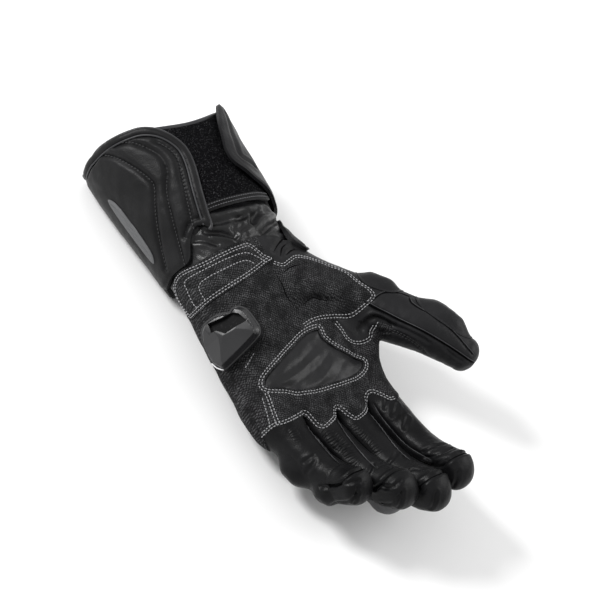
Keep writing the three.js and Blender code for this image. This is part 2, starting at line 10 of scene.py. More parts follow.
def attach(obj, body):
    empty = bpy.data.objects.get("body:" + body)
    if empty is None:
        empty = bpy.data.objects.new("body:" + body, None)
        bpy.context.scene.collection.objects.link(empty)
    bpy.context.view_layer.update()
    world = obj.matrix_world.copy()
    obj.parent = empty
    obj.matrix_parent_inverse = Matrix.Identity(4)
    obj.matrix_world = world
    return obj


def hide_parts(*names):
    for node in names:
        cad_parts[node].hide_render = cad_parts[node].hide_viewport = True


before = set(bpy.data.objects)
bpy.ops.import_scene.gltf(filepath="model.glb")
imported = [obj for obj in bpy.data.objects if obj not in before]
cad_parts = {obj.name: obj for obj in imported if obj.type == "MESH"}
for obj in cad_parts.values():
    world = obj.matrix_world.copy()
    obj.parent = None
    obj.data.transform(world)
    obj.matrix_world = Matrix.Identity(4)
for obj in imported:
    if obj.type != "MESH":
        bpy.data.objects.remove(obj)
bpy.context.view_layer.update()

# The glove is worked out in millimetres round the middle of the wrist: +X to the little finger,
# +Y to the fingertips, +Z out of the palm. ORIGIN is the row frame's origin there.
MM = 0.001
ORIGIN = np.array([-29.83, 53.33, 0.0])
CELL = 0.9  # of the skin's mesh
WALL = 1.6  # thickness of the leather
BODY_POWER = 2.3  # how square the section of hand and cuff is, where 2 is an ellipse
LIMB_POWER = 2.2  # the same for fingers, thumb and web
FINGER_DEPTH = 1.04  # of a finger's section, for its width
FINGER_BLUNT = 0.8  # length of a fingertip's rounding, for its half width
KNUCKLES = 120  # where the hand ends and the fingers part
CUFF_SEAM = 5  # where the cuff is sewn to the hand
SIDE_SEAM = 15  # height of the seam between palm and back on the little finger's side
FINGER_GAP = 0.5  # between fingers that lie side by side
TIP_GAP = dict(more=1.5, start=124, run=22)  # index and middle finger part further from there on
WEB_BLEND, THUMB_BLEND, FINGER_BLEND = 10, 16, 8  # how softly each grows out of the hand
KNUCKLE_BLEND = 12  # how softly the hand is cut off at the knuckles
LIMB_REACH = 34  # beyond this from a limb's line its field isn't worked out
TIP_SEAM = 0.77  # where the fingertip's cap starts, along the finger
THUMB_TIP_SEAM = 0.86
CUP = dict(deep=5, x=-2, wide=20, y=80, long=34)  # hollow of the palm
SPLINE_POINTS = 60  # worked out between two marks of a smooth line

# place along the glove, middle, half width, lowest and highest point
BODY = np.array([
    (-100, 4, 46, -3, 75), (-80, 4, 45, -3, 73), (-60, 3, 44, -3, 71), (-30, 0, 43, -2, 67),
    (-5, -1.5, 40.5, -2, 62), (20, -2, 41, -2, 59), (45, -3, 44, -2, 55), (70, -5, 46.5, -3, 50),
    (95, -7, 48.5, -3, 45), (118, -8.5, 49.5, -2, 39), (130, -8, 50, -1, 38),
], float)
FINGERS = {
    "index": dict(root=(-45, 104, 24), heading=4, bones=(50, 28, 19), rise=(8, 27, 46),
                  half=(13.4, 12.6, 12.0, 11.0), pad_side=200),
    "middle": dict(root=(-18, 106, 22), heading=7, bones=(53, 30, 19), rise=(7, 26, 46),
                   half=(13.2, 12.6, 12.2, 11.2), pad_side=270),
    "ring": dict(root=(7, 104, 23), heading=9, bones=(50, 28, 19), rise=(7, 28, 48),
                 half=(12.8, 12.3, 11.9, 11.0), pad_side=270),
    "little": dict(root=(31, 98, 25), heading=9, bones=(46, 24, 19), rise=(3, 26, 50),
                   half=(12.2, 11.8, 11.2, 10.4), pad_side=320),
}
THUMB = dict(middle=[(-26, 30, 36), (-59, 58, 43), (-85, 92, 55), (-106.5, 126.5, 57)],
             half=(22, 18, 15.2, 9.6))
WEB = dict(middle=[(-46, 60, 37), (-56, 79, 37), (-49, 101, 26)], half=(12, 8.5, 8))
rng = np.random.default_rng(7)


# Curves and tables

def spline(rows, t):
    """Smooth values of a table's rows at fractional row numbers."""
    rows = np.asarray(rows, float)
    last = len(rows) - 1
    i = np.clip(np.floor(t).astype(int), 0, last - 1)
    f = (np.asarray(t, float) - i)[..., None]
    a, b, c, d = (rows[np.clip(i + k, 0, last)] for k in (-1, 0, 1, 2))
    return 0.5 * (2 * b + (c - a) * f + (2 * a - 5 * b + 4 * c - d) * f**2 + (3 * b - a - 3 * c + d) * f**3)


def dense(points, step, closed=False):
    """A smooth line through points, with a point every step."""
    points = np.asarray(points, float)
    count = len(points)
    if closed:
        points = np.concatenate([points[-1:], points, points[:2]])
    first, last = (1, count + 1) if closed else (0, count - 1)
    return evenly(spline(points, np.linspace(first, last, SPLINE_POINTS * count)), step)


def evenly(line, step):
    """The same line with its points about a step apart."""
    run = np.concatenate([[0], np.cumsum(np.linalg.norm(np.diff(line, axis=0), axis=1))])
    count = max(int(round(run[-1] / step)), 2)
    at = np.linspace(0, run[-1], count + 1)
    return np.stack([np.interp(at, run, line[:, k]) for k in range(line.shape[1])], 1)


def unit(v):
    return v / np.maximum(np.linalg.norm(v, axis=-1, keepdims=True), 1e-9)


def way_round(line):
    """Directions along a closed line."""
    return unit(np.roll(line, -1, 0) - np.roll(line, 1, 0))


def level(flat):
    """Flat places as points at no height."""
    return np.column_stack([flat, np.zeros(len(flat))])


def turned_from(angle, middle):
    """Degrees from one direction to another, between -180 and 180."""
    return (angle - middle + 180) % 360 - 180


def bell(x):
    return np.exp(-x * x)


def smooth_step(x):
    x = np.clip(x, 0, 1)
    return x * x * (3 - 2 * x)


def ripple(points, size, seed, waves=18):
    """Smooth random relief, about -1 to 1, whose bumps are about size apart."""
    draw = np.random.default_rng(seed)
    ways = unit(draw.normal(size=(waves, 3))) * (2 * np.pi / size) * draw.uniform(0.6, 1.5, (waves, 1))
    phase = draw.uniform(0, 2 * np.pi, waves)
    return np.sin(points @ ways.T + phase).sum(1) / math.sqrt(waves)


def distance_to(points, line, reach):
    """Distance from points to a dense line, cut off at reach."""
    found = np.full(len(points), float(reach))
    near = np.nonzero(((points > line.min(0) - reach) & (points < line.max(0) + reach)).all(1))[0]
    tree = tree_of(line)
    found[near] = [tree.find(point)[2] for point in points[near].tolist()]
    return np.minimum(found, reach)


def tree_of(points):
    tree = KDTree(len(points))
    for k, point in enumerate(points.tolist()):
        tree.insert(point, k)
    tree.balance()
    return tree


def inside_distance(points, outline):
    """Signed distance of 2-D points to a closed outline, positive inside."""
    best = np.full(len(points), 1e9)
    crossed = np.zeros(len(points), bool)
    for a, b in zip(outline, np.roll(outline, -1, axis=0)):
        edge = b - a
        t = np.clip(((points - a) @ edge) / max(edge @ edge, 1e-9), 0, 1)
        gap = points - a - t[:, None] * edge
        best = np.minimum(best, (gap * gap).sum(1))
        spans = (a[1] > points[:, 1]) != (b[1] > points[:, 1])
        rise = (points[:, 1] - a[1]) / np.where(edge[1] == 0, 1e-9, edge[1])
        crossed ^= spans & (points[:, 0] < a[0] + rise * edge[0])
    return np.sqrt(best) * np.where(crossed, 1, -1)


# The skin of the glove as a field: negative inside

def smooth_max(a, b, width):
    """The larger of two values, rounded where they are within a width of each other."""
    h = np.clip(0.5 + 0.5 * (a - b) / width, 0, 1)
    return b + (a - b) * h + width * h * (1 - h)


def smooth_min(a, b, width):
    return -smooth_max(-a, -b, width)


def rounded_distance(parts, power):
    """Roughly the distance from the rounded shape where the sum of (x / half) ** power is 1."""
    q = sum((np.abs(x) / half) ** power for x, half in parts) ** (1 / power)
    q = np.maximum(q, 1e-4)
    slope = sum((q ** (1 - power) * (np.abs(x) / half) ** (power - 1) / half) ** 2 for x, half in parts)
    return (q - 1) / np.maximum(np.sqrt(slope), 1e-3)


STATIONS = np.arange(-112, 142, 1.0)


def smooth_stations():
    rows = spline(BODY[:, 1:], np.interp(STATIONS, BODY[:, 0], np.arange(len(BODY))))
    weights = bell(np.arange(-12, 13) / 6.0)
    weights /= weights.sum()
    padded = np.pad(rows, ((12, 12), (0, 0)), mode="edge")
    return np.stack([np.convolve(padded[:, k], weights, "valid") for k in range(rows.shape[1])], 1)


STATION_ROWS = smooth_stations()


def section(y):
    """Middle, half width, height of the middle and half height of the body's section at y."""
    x, half, low, high = (np.interp(y, STATIONS, STATION_ROWS[:, k]) for k in range(4))
    return x, half, (low + high) / 2, (high - low) / 2


def cup(x, y):
    return CUP["deep"] * bell((x - CUP["x"]) / CUP["wide"]) * bell((y - CUP["y"]) / CUP["long"])


def body_field(p):
    """The hand and cuff without fingers and thumb, resting on the floor."""
    x, half, z, tall = section(p[:, 1])
    up = p[:, 2] - z + cup(p[:, 0], p[:, 1]) * np.clip((p[:, 2] - z) / tall * 2, 0, 1)
    d = rounded_distance([(p[:, 0] - x, half), (up, tall)], BODY_POWER)
    return np.maximum(smooth_max(d, p[:, 1] - KNUCKLES, KNUCKLE_BLEND), -p[:, 2])


class Limb:
    """A finger, the thumb or the web beside it: a rounded section along a smooth line."""

    def __init__(self, middle, half, deep, blunt=1.0):
        self.middle = np.array(middle, float)
        self.half = np.array(half, float)[:, None]
        self.deep = deep
        self.rows = np.linspace(0, len(middle) - 1, 161)
        self.line = spline(self.middle, self.rows)
        steps = np.linalg.norm(np.diff(self.line, axis=0), axis=1)
        self.run = np.concatenate([[0], np.cumsum(steps)])
        self.length = self.run[-1]
        self.blunt = blunt * self.half[-1, 0]
        self.end = np.interp(self.length - self.blunt, self.run, self.rows)

    def frame_at(self, row):
        """Middle, the directions along, to the side and to the palm, and half width at rows."""
        middle = spline(self.middle, row)
        along = unit(spline(self.middle, row + 0.01) - spline(self.middle, row - 0.01))
        side = unit(np.cross(along, [0, 0, 1.0]))
        return middle, along, side, np.cross(side, along), spline(self.half, row)[..., 0]

    def place(self, p):
        """Row of the nearest point of the line, and the offsets there: beyond the end, to the side, palm."""
        line = self.line[::4]
        score = (line**2).sum(1)[None] - 2 * (p @ line.T)
        row = self.rows[::4][score.argmin(1)]
        for _ in range(2):
            middle = spline(self.middle, row)
            slope = (spline(self.middle, row + 0.01) - spline(self.middle, row - 0.01)) / 0.02
            row = row + ((p - middle) * slope).sum(1) / (slope * slope).sum(1)
            row = np.clip(row, 0, self.end)
        middle, along, side, palm, half = self.frame_at(row)
        gap = p - middle
        over = (gap * along).sum(1)
        over = np.where(row >= self.end, np.maximum(over, 0), np.where(row <= 0, np.minimum(over, 0), 0))
        return row, over, (gap * side).sum(1), (gap * palm).sum(1), half

    def field(self, p):
        _, over, u, v, half = self.place(p)
        ends = np.where(over < 0, self.half[0, 0], self.blunt)
        return rounded_distance([(u, half), (v, half * self.deep), (over, ends)], LIMB_POWER)

    def coordinates(self, p):
        """Share of the length and angle round the limb: 0 towards the little finger, 90 palm."""
        row, over, u, v, _ = self.place(p)
        share = (np.interp(row, self.rows, self.run) + over) / self.length
        return share, np.degrees(np.arctan2(v, u)) % 360

    def at(self, marks, lift=0.0):
        """Points on the limb's outside at rows of (share, angle)."""
        marks = np.asarray(marks, float)
        share = marks[:, 0] * self.length
        row = np.minimum(np.interp(share, self.run, self.rows), self.end)
        over = np.maximum(share - (self.length - self.blunt), 0)
        middle, along, side, palm, half = self.frame_at(row)
        shrink = np.sqrt(np.clip(1 - (over / self.blunt) ** 2, 0.05, 1))
        c, s = np.cos(np.radians(marks[:, 1])), np.sin(np.radians(marks[:, 1]))
        r = (np.abs(c) ** LIMB_POWER + np.abs(s) ** LIMB_POWER) ** (-1 / LIMB_POWER)
        out = side * (c * r * (half * shrink + lift))[:, None]
        up = palm * (s * r * (half * shrink * self.deep + lift))[:, None]
        return middle + out + up + along * over[:, None]


def finger_middle(finger):
    points = [np.array(finger["root"], float)]
    turn = math.radians(finger["heading"])
    for bone, rise in zip(finger["bones"], finger["rise"]):
        rise = math.radians(rise)
        way = np.array([-math.sin(turn) * math.cos(rise), math.cos(turn) * math.cos(rise), math.sin(rise)])
        points.append(points[-1] + bone * way)
    return points


LIMBS = {name: Limb(finger_middle(f), f["half"], FINGER_DEPTH, FINGER_BLUNT) for name, f in FINGERS.items()}
LIMBS["thumb"] = Limb(THUMB["middle"], THUMB["half"], 1.0)
WEB_LIMB = Limb(WEB["middle"], WEB["half"], 1.0)
ORDER = ["index", "middle", "ring", "little"]


def parting(one, other):
    """A point on, and the way across, the upright plane along which two fingers touch."""
    marks = []
    for share in (0.2, 0.9):
        row = np.interp([share * one.length, share * other.length], one.run, one.rows)
        a, b = spline(one.middle, row[0]), spline(other.middle, row[1])
        ra, rb = spline(one.half, row[0])[0], spline(other.half, row[1])[0]
        marks.append((a + (b - a) * ra / (ra + rb)) * [1, 1, 0])
    across = unit(np.cross(marks[1] - marks[0], [0, 0, 1.0]))
    return marks[0], across


PARTINGS = [parting(LIMBS[a], LIMBS[b]) for a, b in zip(ORDER, ORDER[1:])]


def near_limb(p, limb, reach):
    low, high = limb.line.min(0) - reach, limb.line.max(0) + reach
    return ((p > low) & (p < high)).all(1)


def joined_to(base, p, limb, width):
    """A base field at points with a limb grown softly out of it."""
    near = near_limb(p, limb, LIMB_REACH)
    d = base.copy()
    if near.any():
        d[near] = smooth_min(base[near], limb.field(p[near]), width)
    return d


def palm_field(p):
    """The hand with its web."""
    return joined_to(body_field(p), p, WEB_LIMB, WEB_BLEND)


def hand_field(p):
    """The whole glove's skin, with a firm crease between the thumb and the palm."""
    body = body_field(p)
    base = joined_to(body, p, WEB_LIMB, WEB_BLEND)
    thumb = joined_to(body, p, LIMBS["thumb"], THUMB_BLEND)
    crease = 0.01 + 4 * np.clip((body - np.minimum(base, thumb)) / 3, 0, 1)
    d = smooth_min(base, thumb, crease)
    for name in ORDER:
        d = np.minimum(d, joined_to(base, p, LIMBS[name], FINGER_BLEND))
    return np.maximum(d, -p[:, 2])


def finger_field(name):
    """The field of one finger and the hand, kept apart from the fingers beside it."""
    k = ORDER.index(name)

    def field(p):
        d = joined_to(palm_field(p), p, LIMBS[name], FINGER_BLEND)
        for j, sign in ((k - 1, -1), (k, 1)):
            if 0 <= j < len(PARTINGS):
                start, across = PARTINGS[j]
                gap = FINGER_GAP / 2
                if j == 0:
                    gap = gap + TIP_GAP["more"] * smooth_step((p[:, 1] - TIP_GAP["start"]) / TIP_GAP["run"])
                d = smooth_max(d, sign * ((p - start) @ across) + gap, 2.5)
        return np.maximum(d, -p[:, 2])

    return field


def slope_of(field, p):
    """Directions outward at points of a field."""
    nudges = 0.25 * np.eye(3)
    return unit(np.stack([field(p + nudge) - field(p - nudge) for nudge in nudges], 1))


def settled(p, field, rounds):
    """Points moved onto the skin, and its directions outward there."""
    p = np.array(p, float)
    for _ in range(rounds):
        p = p - slope_of(field, p) * (field(p) * 0.8)[:, None]
    return p, slope_of(field, p)


def marched(p, way):
    """Points moved along a direction until they meet the hand's skin."""
    for _ in range(90):
        p = p + way * (np.clip(hand_field(p), -1, 8) * 0.7)[:, None]
    return p


def on_palm(marks):
    """Points of the skin seen straight from above at rows of (x, y), without those on the back."""
    above, least = 85.0, 20
    p = marched(level(marks) + [0, 0, above], np.array([0, 0, -1.0]))
    return p[p[:, 2] > least]


def round_palm(marks):
    """Points of the skin at rows of (angle round the glove, y), looking towards its middle."""
    marks = np.asarray(marks, float)
    x, half, z, tall = section(marks[:, 1])
    way = np.stack([half * np.cos(np.radians(marks[:, 0])), 0 * x, tall * np.sin(np.radians(marks[:, 0]))], 1)
    middle = np.stack([x, marks[:, 1], z], 1)
    return marched(middle + 1.6 * way, -unit(way))


# Meshes

CUBE = np.array([(i, j, k) for i in (0, 1) for j in (0, 1) for k in (0, 1)])
CUBE_EDGES = [(a, b) for a in range(8) for b in range(a + 1, 8) if abs(CUBE[a] - CUBE[b]).sum() == 1]


def sampled(field, low, count):
    """A field's values on a grid, exact only near its zero level."""
    block, far = 4, 9.0
    reach = block * CELL * 0.87 + 2.5  # half a block's diagonal and some room
    coarse = -(-count // block)
    corner = np.stack(np.meshgrid(*[np.arange(c) for c in coarse], indexing="ij"), -1).reshape(-1, 3)
    rough = field(low + (corner * block + (block - 1) / 2) * CELL)
    values = np.where(rough < 0, -far, far).reshape(coarse)
    for axis in range(3):
        values = np.repeat(values, block, axis)
    near = corner[np.abs(rough) < reach]
    inner = np.stack(np.meshgrid(*[np.arange(block)] * 3, indexing="ij"), -1).reshape(-1, 3)
    spots = (near[:, None] * block + inner[None]).reshape(-1, 3)
    for part in np.array_split(spots, max(len(spots) // 200000, 1)):
        values[tuple(part.T)] = field(low + part * CELL)
    return values[: count[0], : count[1], : count[2]]


def skin_mesh(field, low, high):
    """Points, directions outward and triangles of a field's zero level, by surface nets."""
    low = np.array(low, float)
    count = np.ceil((np.array(high) - low) / CELL).astype(int) + 1
    values = sampled(field, low, count)
    inside = values < 0
    total = sum(inside[i : count[0] - 1 + i, j : count[1] - 1 + j, k : count[2] - 1 + k].astype(np.int8)
                for i, j, k in CUBE)
    cells = np.argwhere((total > 0) & (total < 8))
    number = np.full(count - 1, -1)
    number[tuple(cells.T)] = np.arange(len(cells))
    corners = np.stack([values[tuple((cells + c).T)] for c in CUBE], 1)
    place, hits = np.zeros((len(cells), 3)), np.zeros(len(cells))
    for a, b in CUBE_EDGES:
        crossed = (corners[:, a] < 0) != (corners[:, b] < 0)
        t = corners[:, a] / np.where(crossed, corners[:, a] - corners[:, b], 1)
        place += np.where(crossed[:, None], CUBE[a] + t[:, None] * (CUBE[b] - CUBE[a]), 0)
        hits += crossed
    points = low + (cells + place / hits[:, None]) * CELL
    faces = []
    for axis in range(3):
        u, v = (axis + 1) % 3, (axis + 2) % 3
        near = [slice(1, n - 1) for n in count]
        far = list(near)
        near[axis], far[axis] = slice(0, count[axis] - 1), slice(1, count[axis])
        start = np.array([1, 1, 1])
        start[axis] = 0
        a, b = inside[tuple(near)], inside[tuple(far)]
        for mask, flip in ((a & ~b, False), (~a & b, True)):
            at = np.argwhere(mask) + start
            du, dv = np.eye(3, dtype=int)[u], np.eye(3, dtype=int)[v]
            ring = [number[tuple((at - s).T)] for s in (0 * du, du, du + dv, dv)]
            quads = np.stack(ring[::-1] if flip else ring, 1)
            faces += [quads[:, [0, 1, 2]], quads[:, [0, 2, 3]]]
    points, out = settled(points, field, 2)
    return points, out, np.concatenate(faces)


def clipped(data, faces, value):
    """The part of a mesh where value is positive, with new points where it is zero."""
    keep = value[faces] > 0
    count = keep.sum(1)
    whole = faces[count == 3]
    mixed, kept = faces[(count == 1) | (count == 2)], keep[(count == 1) | (count == 2)]
    single = kept.sum(1) == 1
    lone = np.where(single, kept.argmax(1), (~kept).argmax(1))
    turned = np.take_along_axis(mixed, (lone[:, None] + np.arange(3)) % 3, 1)
    edges = np.sort(np.concatenate([turned[:, [0, 1]], turned[:, [0, 2]]]), 1)
    codes, back = np.unique(edges[:, 0] * len(data) + edges[:, 1], return_inverse=True)
    a, b = codes // len(data), codes % len(data)
    t = np.clip(value[a] / (value[a] - value[b]), 0.02, 0.98)[:, None]
    data = np.concatenate([data, data[a] * (1 - t) + data[b] * t])
    ids = len(value) + back
    first, second = ids[: len(turned)], ids[len(turned):]
    one = np.stack([turned[:, 0], first, second], 1)[single]
    rest = ~single
    two = np.stack([first, turned[:, 1], turned[:, 2]], 1)[rest]
    three = np.stack([first, turned[:, 2], second], 1)[rest]
    faces = np.concatenate([whole, one, two, three])
    used, packed = np.unique(faces, return_inverse=True)
    return data[used], packed.reshape(faces.shape)


class Sheet:
    """A piece of the glove's skin: place, outward direction and how far each point stands off it."""

    def __init__(self, place, out, faces, rise=0.0):
        self.place, self.out, self.faces = place, out, faces
        self.rise = rise + np.zeros(len(place))

    def cut(self, value):
        data = np.column_stack([self.place, self.out, self.rise])
        data, faces = clipped(data, self.faces, value)
        return Sheet(data[:, :3], unit(data[:, 3:6]), faces, data[:, 6])

    def raised(self, amount):
        return Sheet(self.place, self.out, self.faces, self.rise + amount)

    def outer(self):
        return self.place + self.out * self.rise[:, None]

    def walled(self, thick, base=None):
        """A closed wall between the sheet and one thick below it, or one that stands base off the skin."""
        below = np.minimum(self.rise - 0.3, 0) - thick if base is None else base + 0 * self.rise
        inner = self.place + self.out * below[:, None]
        return shell(self.outer(), inner, self.faces)


def shell(outer, inner, faces):
    """A closed mesh of two matching surfaces, joined along their borders."""
    count = len(outer)
    edges = np.concatenate([faces[:, [0, 1]], faces[:, [1, 2]], faces[:, [2, 0]]])
    codes, opposite = edges[:, 0] * count + edges[:, 1], edges[:, 1] * count + edges[:, 0]
    border = edges[~np.isin(codes, opposite)]
    a, b = border[:, 0], border[:, 1]
    sides = np.concatenate([np.stack([b, a, a + count], 1), np.stack([b, a + count, b + count], 1)])
    return np.concatenate([outer, inner]), np.concatenate([faces, faces[:, ::-1] + count, sides])


def grid_faces(rows, columns, wrap=False):
    """Triangles of a grid of points, closed on itself from last to first column if wrapped."""
    i, j = np.meshgrid(np.arange(rows - 1), np.arange(columns - (0 if wrap else 1)), indexing="ij")
    i, j = i.ravel(), j.ravel()
    k = (j + 1) % columns
    a, b, c, d = i * columns + j, i * columns + k, (i + 1) * columns + k, (i + 1) * columns + j
    return np.concatenate([np.stack([a, b, c], 1), np.stack([a, c, d], 1)])


def tube(path, radius, sides=10, closed=False):
    """Points and triangles of a round bead along a path, with rounded ends."""
    path = np.asarray(path, float)
    radius = np.broadcast_to(np.asarray(radius, float), (len(path),)).copy()
    along = way_round(path) if closed else unit(np.gradient(path, axis=0))
    aside = np.array([0.3, 0.2, 1.0])  # never along a path
    u = unit(np.cross(along, aside))
    v = np.cross(along, u)
    if not closed:
        caps = np.array([0.25, 0.7, 1.0])
        shrink = np.sqrt(1 - (1 - caps) ** 2)
        heads = [path[0] - along[0] * radius[0] * (1 - c) for c in caps]
        tails = [path[-1] + along[-1] * radius[-1] * (1 - c) for c in caps[::-1]]
        path = np.concatenate([heads, path[1:-1], tails])
        u, v = (np.concatenate([[w[0]] * 3, w[1:-1], [w[-1]] * 3]) for w in (u, v))
        radius = np.concatenate([radius[0] * shrink, radius[1:-1], radius[-1] * shrink[::-1]])
    turn = np.arange(sides) / sides * 2 * np.pi
    rings = path[:, None] + radius[:, None, None] * (
        np.cos(turn)[None, :, None] * u[:, None] + np.sin(turn)[None, :, None] * v[:, None])
    points, faces = rings.reshape(-1, 3), grid_faces(len(path), sides, True)
    j = np.arange(sides)
    k, base = (j + 1) % sides, (len(path) - 1) * sides
    if closed:
        ends = [(base + j, base + k, k), (base + j, k, j)]
    else:
        ends = [(np.full(sides, len(points)), k, j), (np.full(sides, len(points) + 1), base + j, base + k)]
        points = np.concatenate([points, [rings[0].mean(0)], [rings[-1].mean(0)]])
    return points, np.concatenate([faces, *[np.stack(end, 1) for end in ends]])


def merged(parts):
    """Several meshes as one."""
    points, faces, start = [], [], 0
    for p, f in parts:
        points.append(p)
        faces.append(f + start)
        start += len(p)
    return np.concatenate(points), np.concatenate(faces)


def linked(name, data):
    """A new object in the scene."""
    thing = bpy.data.objects.new(name, data)
    bpy.context.scene.collection.objects.link(thing)
    return thing


def piece(name, mesh_data, finish, nodes=(), crease=55):
    """A named piece of the glove from points in millimetres."""
    points, faces = mesh_data
    points = np.column_stack([points[:, :2], np.maximum(points[:, 2], 0)])
    mesh = bpy.data.meshes.new(name)
    mesh.from_pydata(((points - ORIGIN) * MM).tolist(), [], faces.tolist())
    mesh.validate()
    mesh.materials.append(finish)
    mesh.shade_smooth()
    mesh.set_sharp_from_angle(angle=math.radians(crease))
    thing = linked(name, mesh)
    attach(thing, "root")
    if nodes:
        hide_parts(*nodes)
    return thing


# Finishes

class Value:
    """A socket of a finish, for sums written as Python expressions."""

    def __init__(self, finish, socket):
        self.finish, self.socket = finish, socket

    def __add__(self, other):
        return self.finish.maths("ADD", self, other)

    def __sub__(self, other):
        return self.finish.maths("SUBTRACT", self, other)

    def __rsub__(self, other):
        return self.finish.maths("SUBTRACT", other, self)

    def __mul__(self, other):
        return self.finish.maths("MULTIPLY", self, other)

    __radd__ = __add__
    __rmul__ = __mul__


class Finish:
    """A material of the glove, built from nodes."""

    def __init__(self, name):
        self.material = bpy.data.materials.new(name)
        self.material.use_nodes = True
        self.tree = self.material.node_tree
        self.tree.nodes.clear()
        self.end = self.tree.nodes.new("ShaderNodeOutputMaterial")
        self.place = self.node("ShaderNodeTexCoord", output="Object")

    def node(self, kind, settings=None, inputs=None, output=0):
        made = self.tree.nodes.new(kind)
        for key, value in (settings or {}).items():
            setattr(made, key, value)
        for key, value in (inputs or {}).items():
            if isinstance(value, Value):
                self.tree.links.new(value.socket, made.inputs[key])
            else:
                made.inputs[key].default_value = value
        return Value(self, made.outputs[output])

    def maths(self, operation, a, b):
        return self.node("ShaderNodeMath", {"operation": operation}, {0: a, 1: b})

    def limited(self, value, low, high, start=0.0, stop=1.0):
        return self.node("ShaderNodeMapRange", None, {
            "Value": value, "From Min": low, "From Max": high, "To Min": start, "To Max": stop})

    def noise(self, scale, detail=2.0, rough=0.5):
        return self.node("ShaderNodeTexNoise", None, {
            "Vector": self.place, "Scale": scale, "Detail": detail, "Roughness": rough})

    def cells(self, scale):
        return self.node("ShaderNodeTexVoronoi", None, {"Vector": self.place, "Scale": scale}, "Distance")

    def mix(self, factor, dark, light):
        sides = [side if isinstance(side, Value) else (*side, 1) for side in (dark, light)]
        return self.node("ShaderNodeMix", {"data_type": "RGBA"}, {0: factor, 6: sides[0], 7: sides[1]}, 2)

    def bump(self, height, strength, distance, under=None):
        inputs = {"Height": height, "Strength": strength, "Distance": distance}
        if under:
            inputs["Normal"] = under
        return self.node("ShaderNodeBump", None, inputs)

    def surface(self, **inputs):
        """The finished material; an underscore stands for a space in an input's name."""
        named = {key.replace("_", " "): value for key, value in inputs.items()}
        shader = self.node("ShaderNodeBsdfPrincipled", None, named)
        self.tree.links.new(shader.socket, self.end.inputs["Surface"])
        return self.material


def leather(name, dark, light, rough, grain=1.0, gloss=0.22):
    """Smooth glossy leather: fine pebbled grain, soft blotches and duller wear."""
    f = Finish(name)
    pebble = f.cells(1500)
    creases = f.noise(260, 4.0, rough=0.65)
    blotch = f.noise(45, 3.0)
    worn = f.limited(f.noise(110, 4.0), 0.52, 0.75)
    normal = f.bump(creases, 0.28 * grain, 0.0007, f.bump(pebble, 0.3 * grain, 0.00025))
    return f.surface(
        Base_Color=f.mix(f.limited(blotch, 0.35, 0.7), dark, light),
        Roughness=rough + worn * 0.12 + (pebble - 0.4) * 0.08,
        Normal=normal,
        Specular_IOR_Level=gloss,
    )


def suede(name, dark, light):
    """Matt palm leather with a fine crossed grain that catches the light in specks."""
    f = Finish(name)
    turned = f.node("ShaderNodeMapping", None, {"Vector": f.place, "Rotation": (0, 0, math.radians(38))})
    across, along = (
        f.node("ShaderNodeTexWave", {"bands_direction": way},
               {"Vector": turned, "Scale": scale, "Distortion": 5.0, "Detail": 2.0, "Detail Scale": 1.5})
        for way, scale in (("X", 260), ("Y", 240)))
    grain = across * along
    speck = f.limited(f.noise(1100, 3.0, rough=0.7), 0.52, 0.72)
    patch = f.limited(f.noise(130, 3.0, rough=0.6), 0.36, 0.66, 0.2, 1.0)
    normal = f.bump(grain, 0.55, 0.0006, f.bump(f.noise(1600, 2.0), 0.4, 0.0003))
    return f.surface(
        Base_Color=f.mix((grain * 0.8 + speck * 0.6) * patch, dark, light),
        Roughness=0.82 + (speck - 0.5) * 0.1,
        Normal=normal,
        Specular_IOR_Level=0.12,
    )


def loop_pile(name):
    """The loops of a touch fastener: black fuzz with pale specks."""
    f = Finish(name)
    curl = f.cells(900)
    speck = f.limited(f.noise(1000, 4.0, rough=0.8), 0.55, 0.74)
    normal = f.bump(curl + f.noise(1500, 2.0), 0.9, 0.0008)
    return f.surface(
        Base_Color=f.mix(speck, (0.0025, 0.0025, 0.003), (0.075, 0.075, 0.078)),
        Roughness=0.95 - speck * 0.1,
        Normal=normal,
        Specular_IOR_Level=0.04,
    )


def thread(name, dark, light):
    f = Finish(name)
    twist = f.node("ShaderNodeTexWave", None, {"Vector": f.place, "Scale": 900, "Distortion": 3.0})
    return f.surface(
        Base_Color=f.mix(f.limited(twist, 0.2, 0.8), dark, light),
        Roughness=0.62 + twist * 0.1,
        Normal=f.bump(twist, 0.4, 0.0002),
    )


def plastic(name, dark, light, rough, coat, gloss=0.5):
    f = Finish(name)
    scuff = f.limited(f.noise(700, 4.0, rough=0.7), 0.55, 0.8)
    streak = f.limited(f.noise(25, 2.0), 0.35, 0.7)
    return f.surface(
        Base_Color=f.mix(streak, dark, light),
        Roughness=rough + scuff * 0.14,
        Normal=f.bump(f.noise(1800, 2.0), 0.05, 0.0002),
        Coat_Weight=coat,
        Coat_Roughness=0.12,
        Specular_IOR_Level=gloss,
    )


SMOOTH = leather("smooth_leather", (0.0055, 0.0055, 0.006), (0.0115, 0.0115, 0.0125), 0.4, gloss=0.15)
FLAP_LEATHER = leather("flap_leather", (0.004, 0.004, 0.0043), (0.009, 0.009, 0.0095), 0.42, gloss=0.13)
FINGER_LEATHER = leather("finger_leather", (0.0022, 0.0022, 0.0025), (0.006, 0.006, 0.0065), 0.36, gloss=0.11)
LEAF_LEATHER = leather("leaf_leather", (0.006, 0.006, 0.0065), (0.012, 0.012, 0.013), 0.38, 0.6, gloss=0.24)
CUFF_LEATHER = leather("cuff_leather", (0.0035, 0.0035, 0.0038), (0.009, 0.009, 0.0095), 0.29, gloss=0.27)
SUEDE = suede("palm_suede", (0.0012, 0.0012, 0.0015), (0.088, 0.088, 0.091))
LOOPS = loop_pile("loop_pile")
EDGE = leather("turned_edge", (0.02, 0.02, 0.022), (0.034, 0.034, 0.036), 0.4, 0.5)
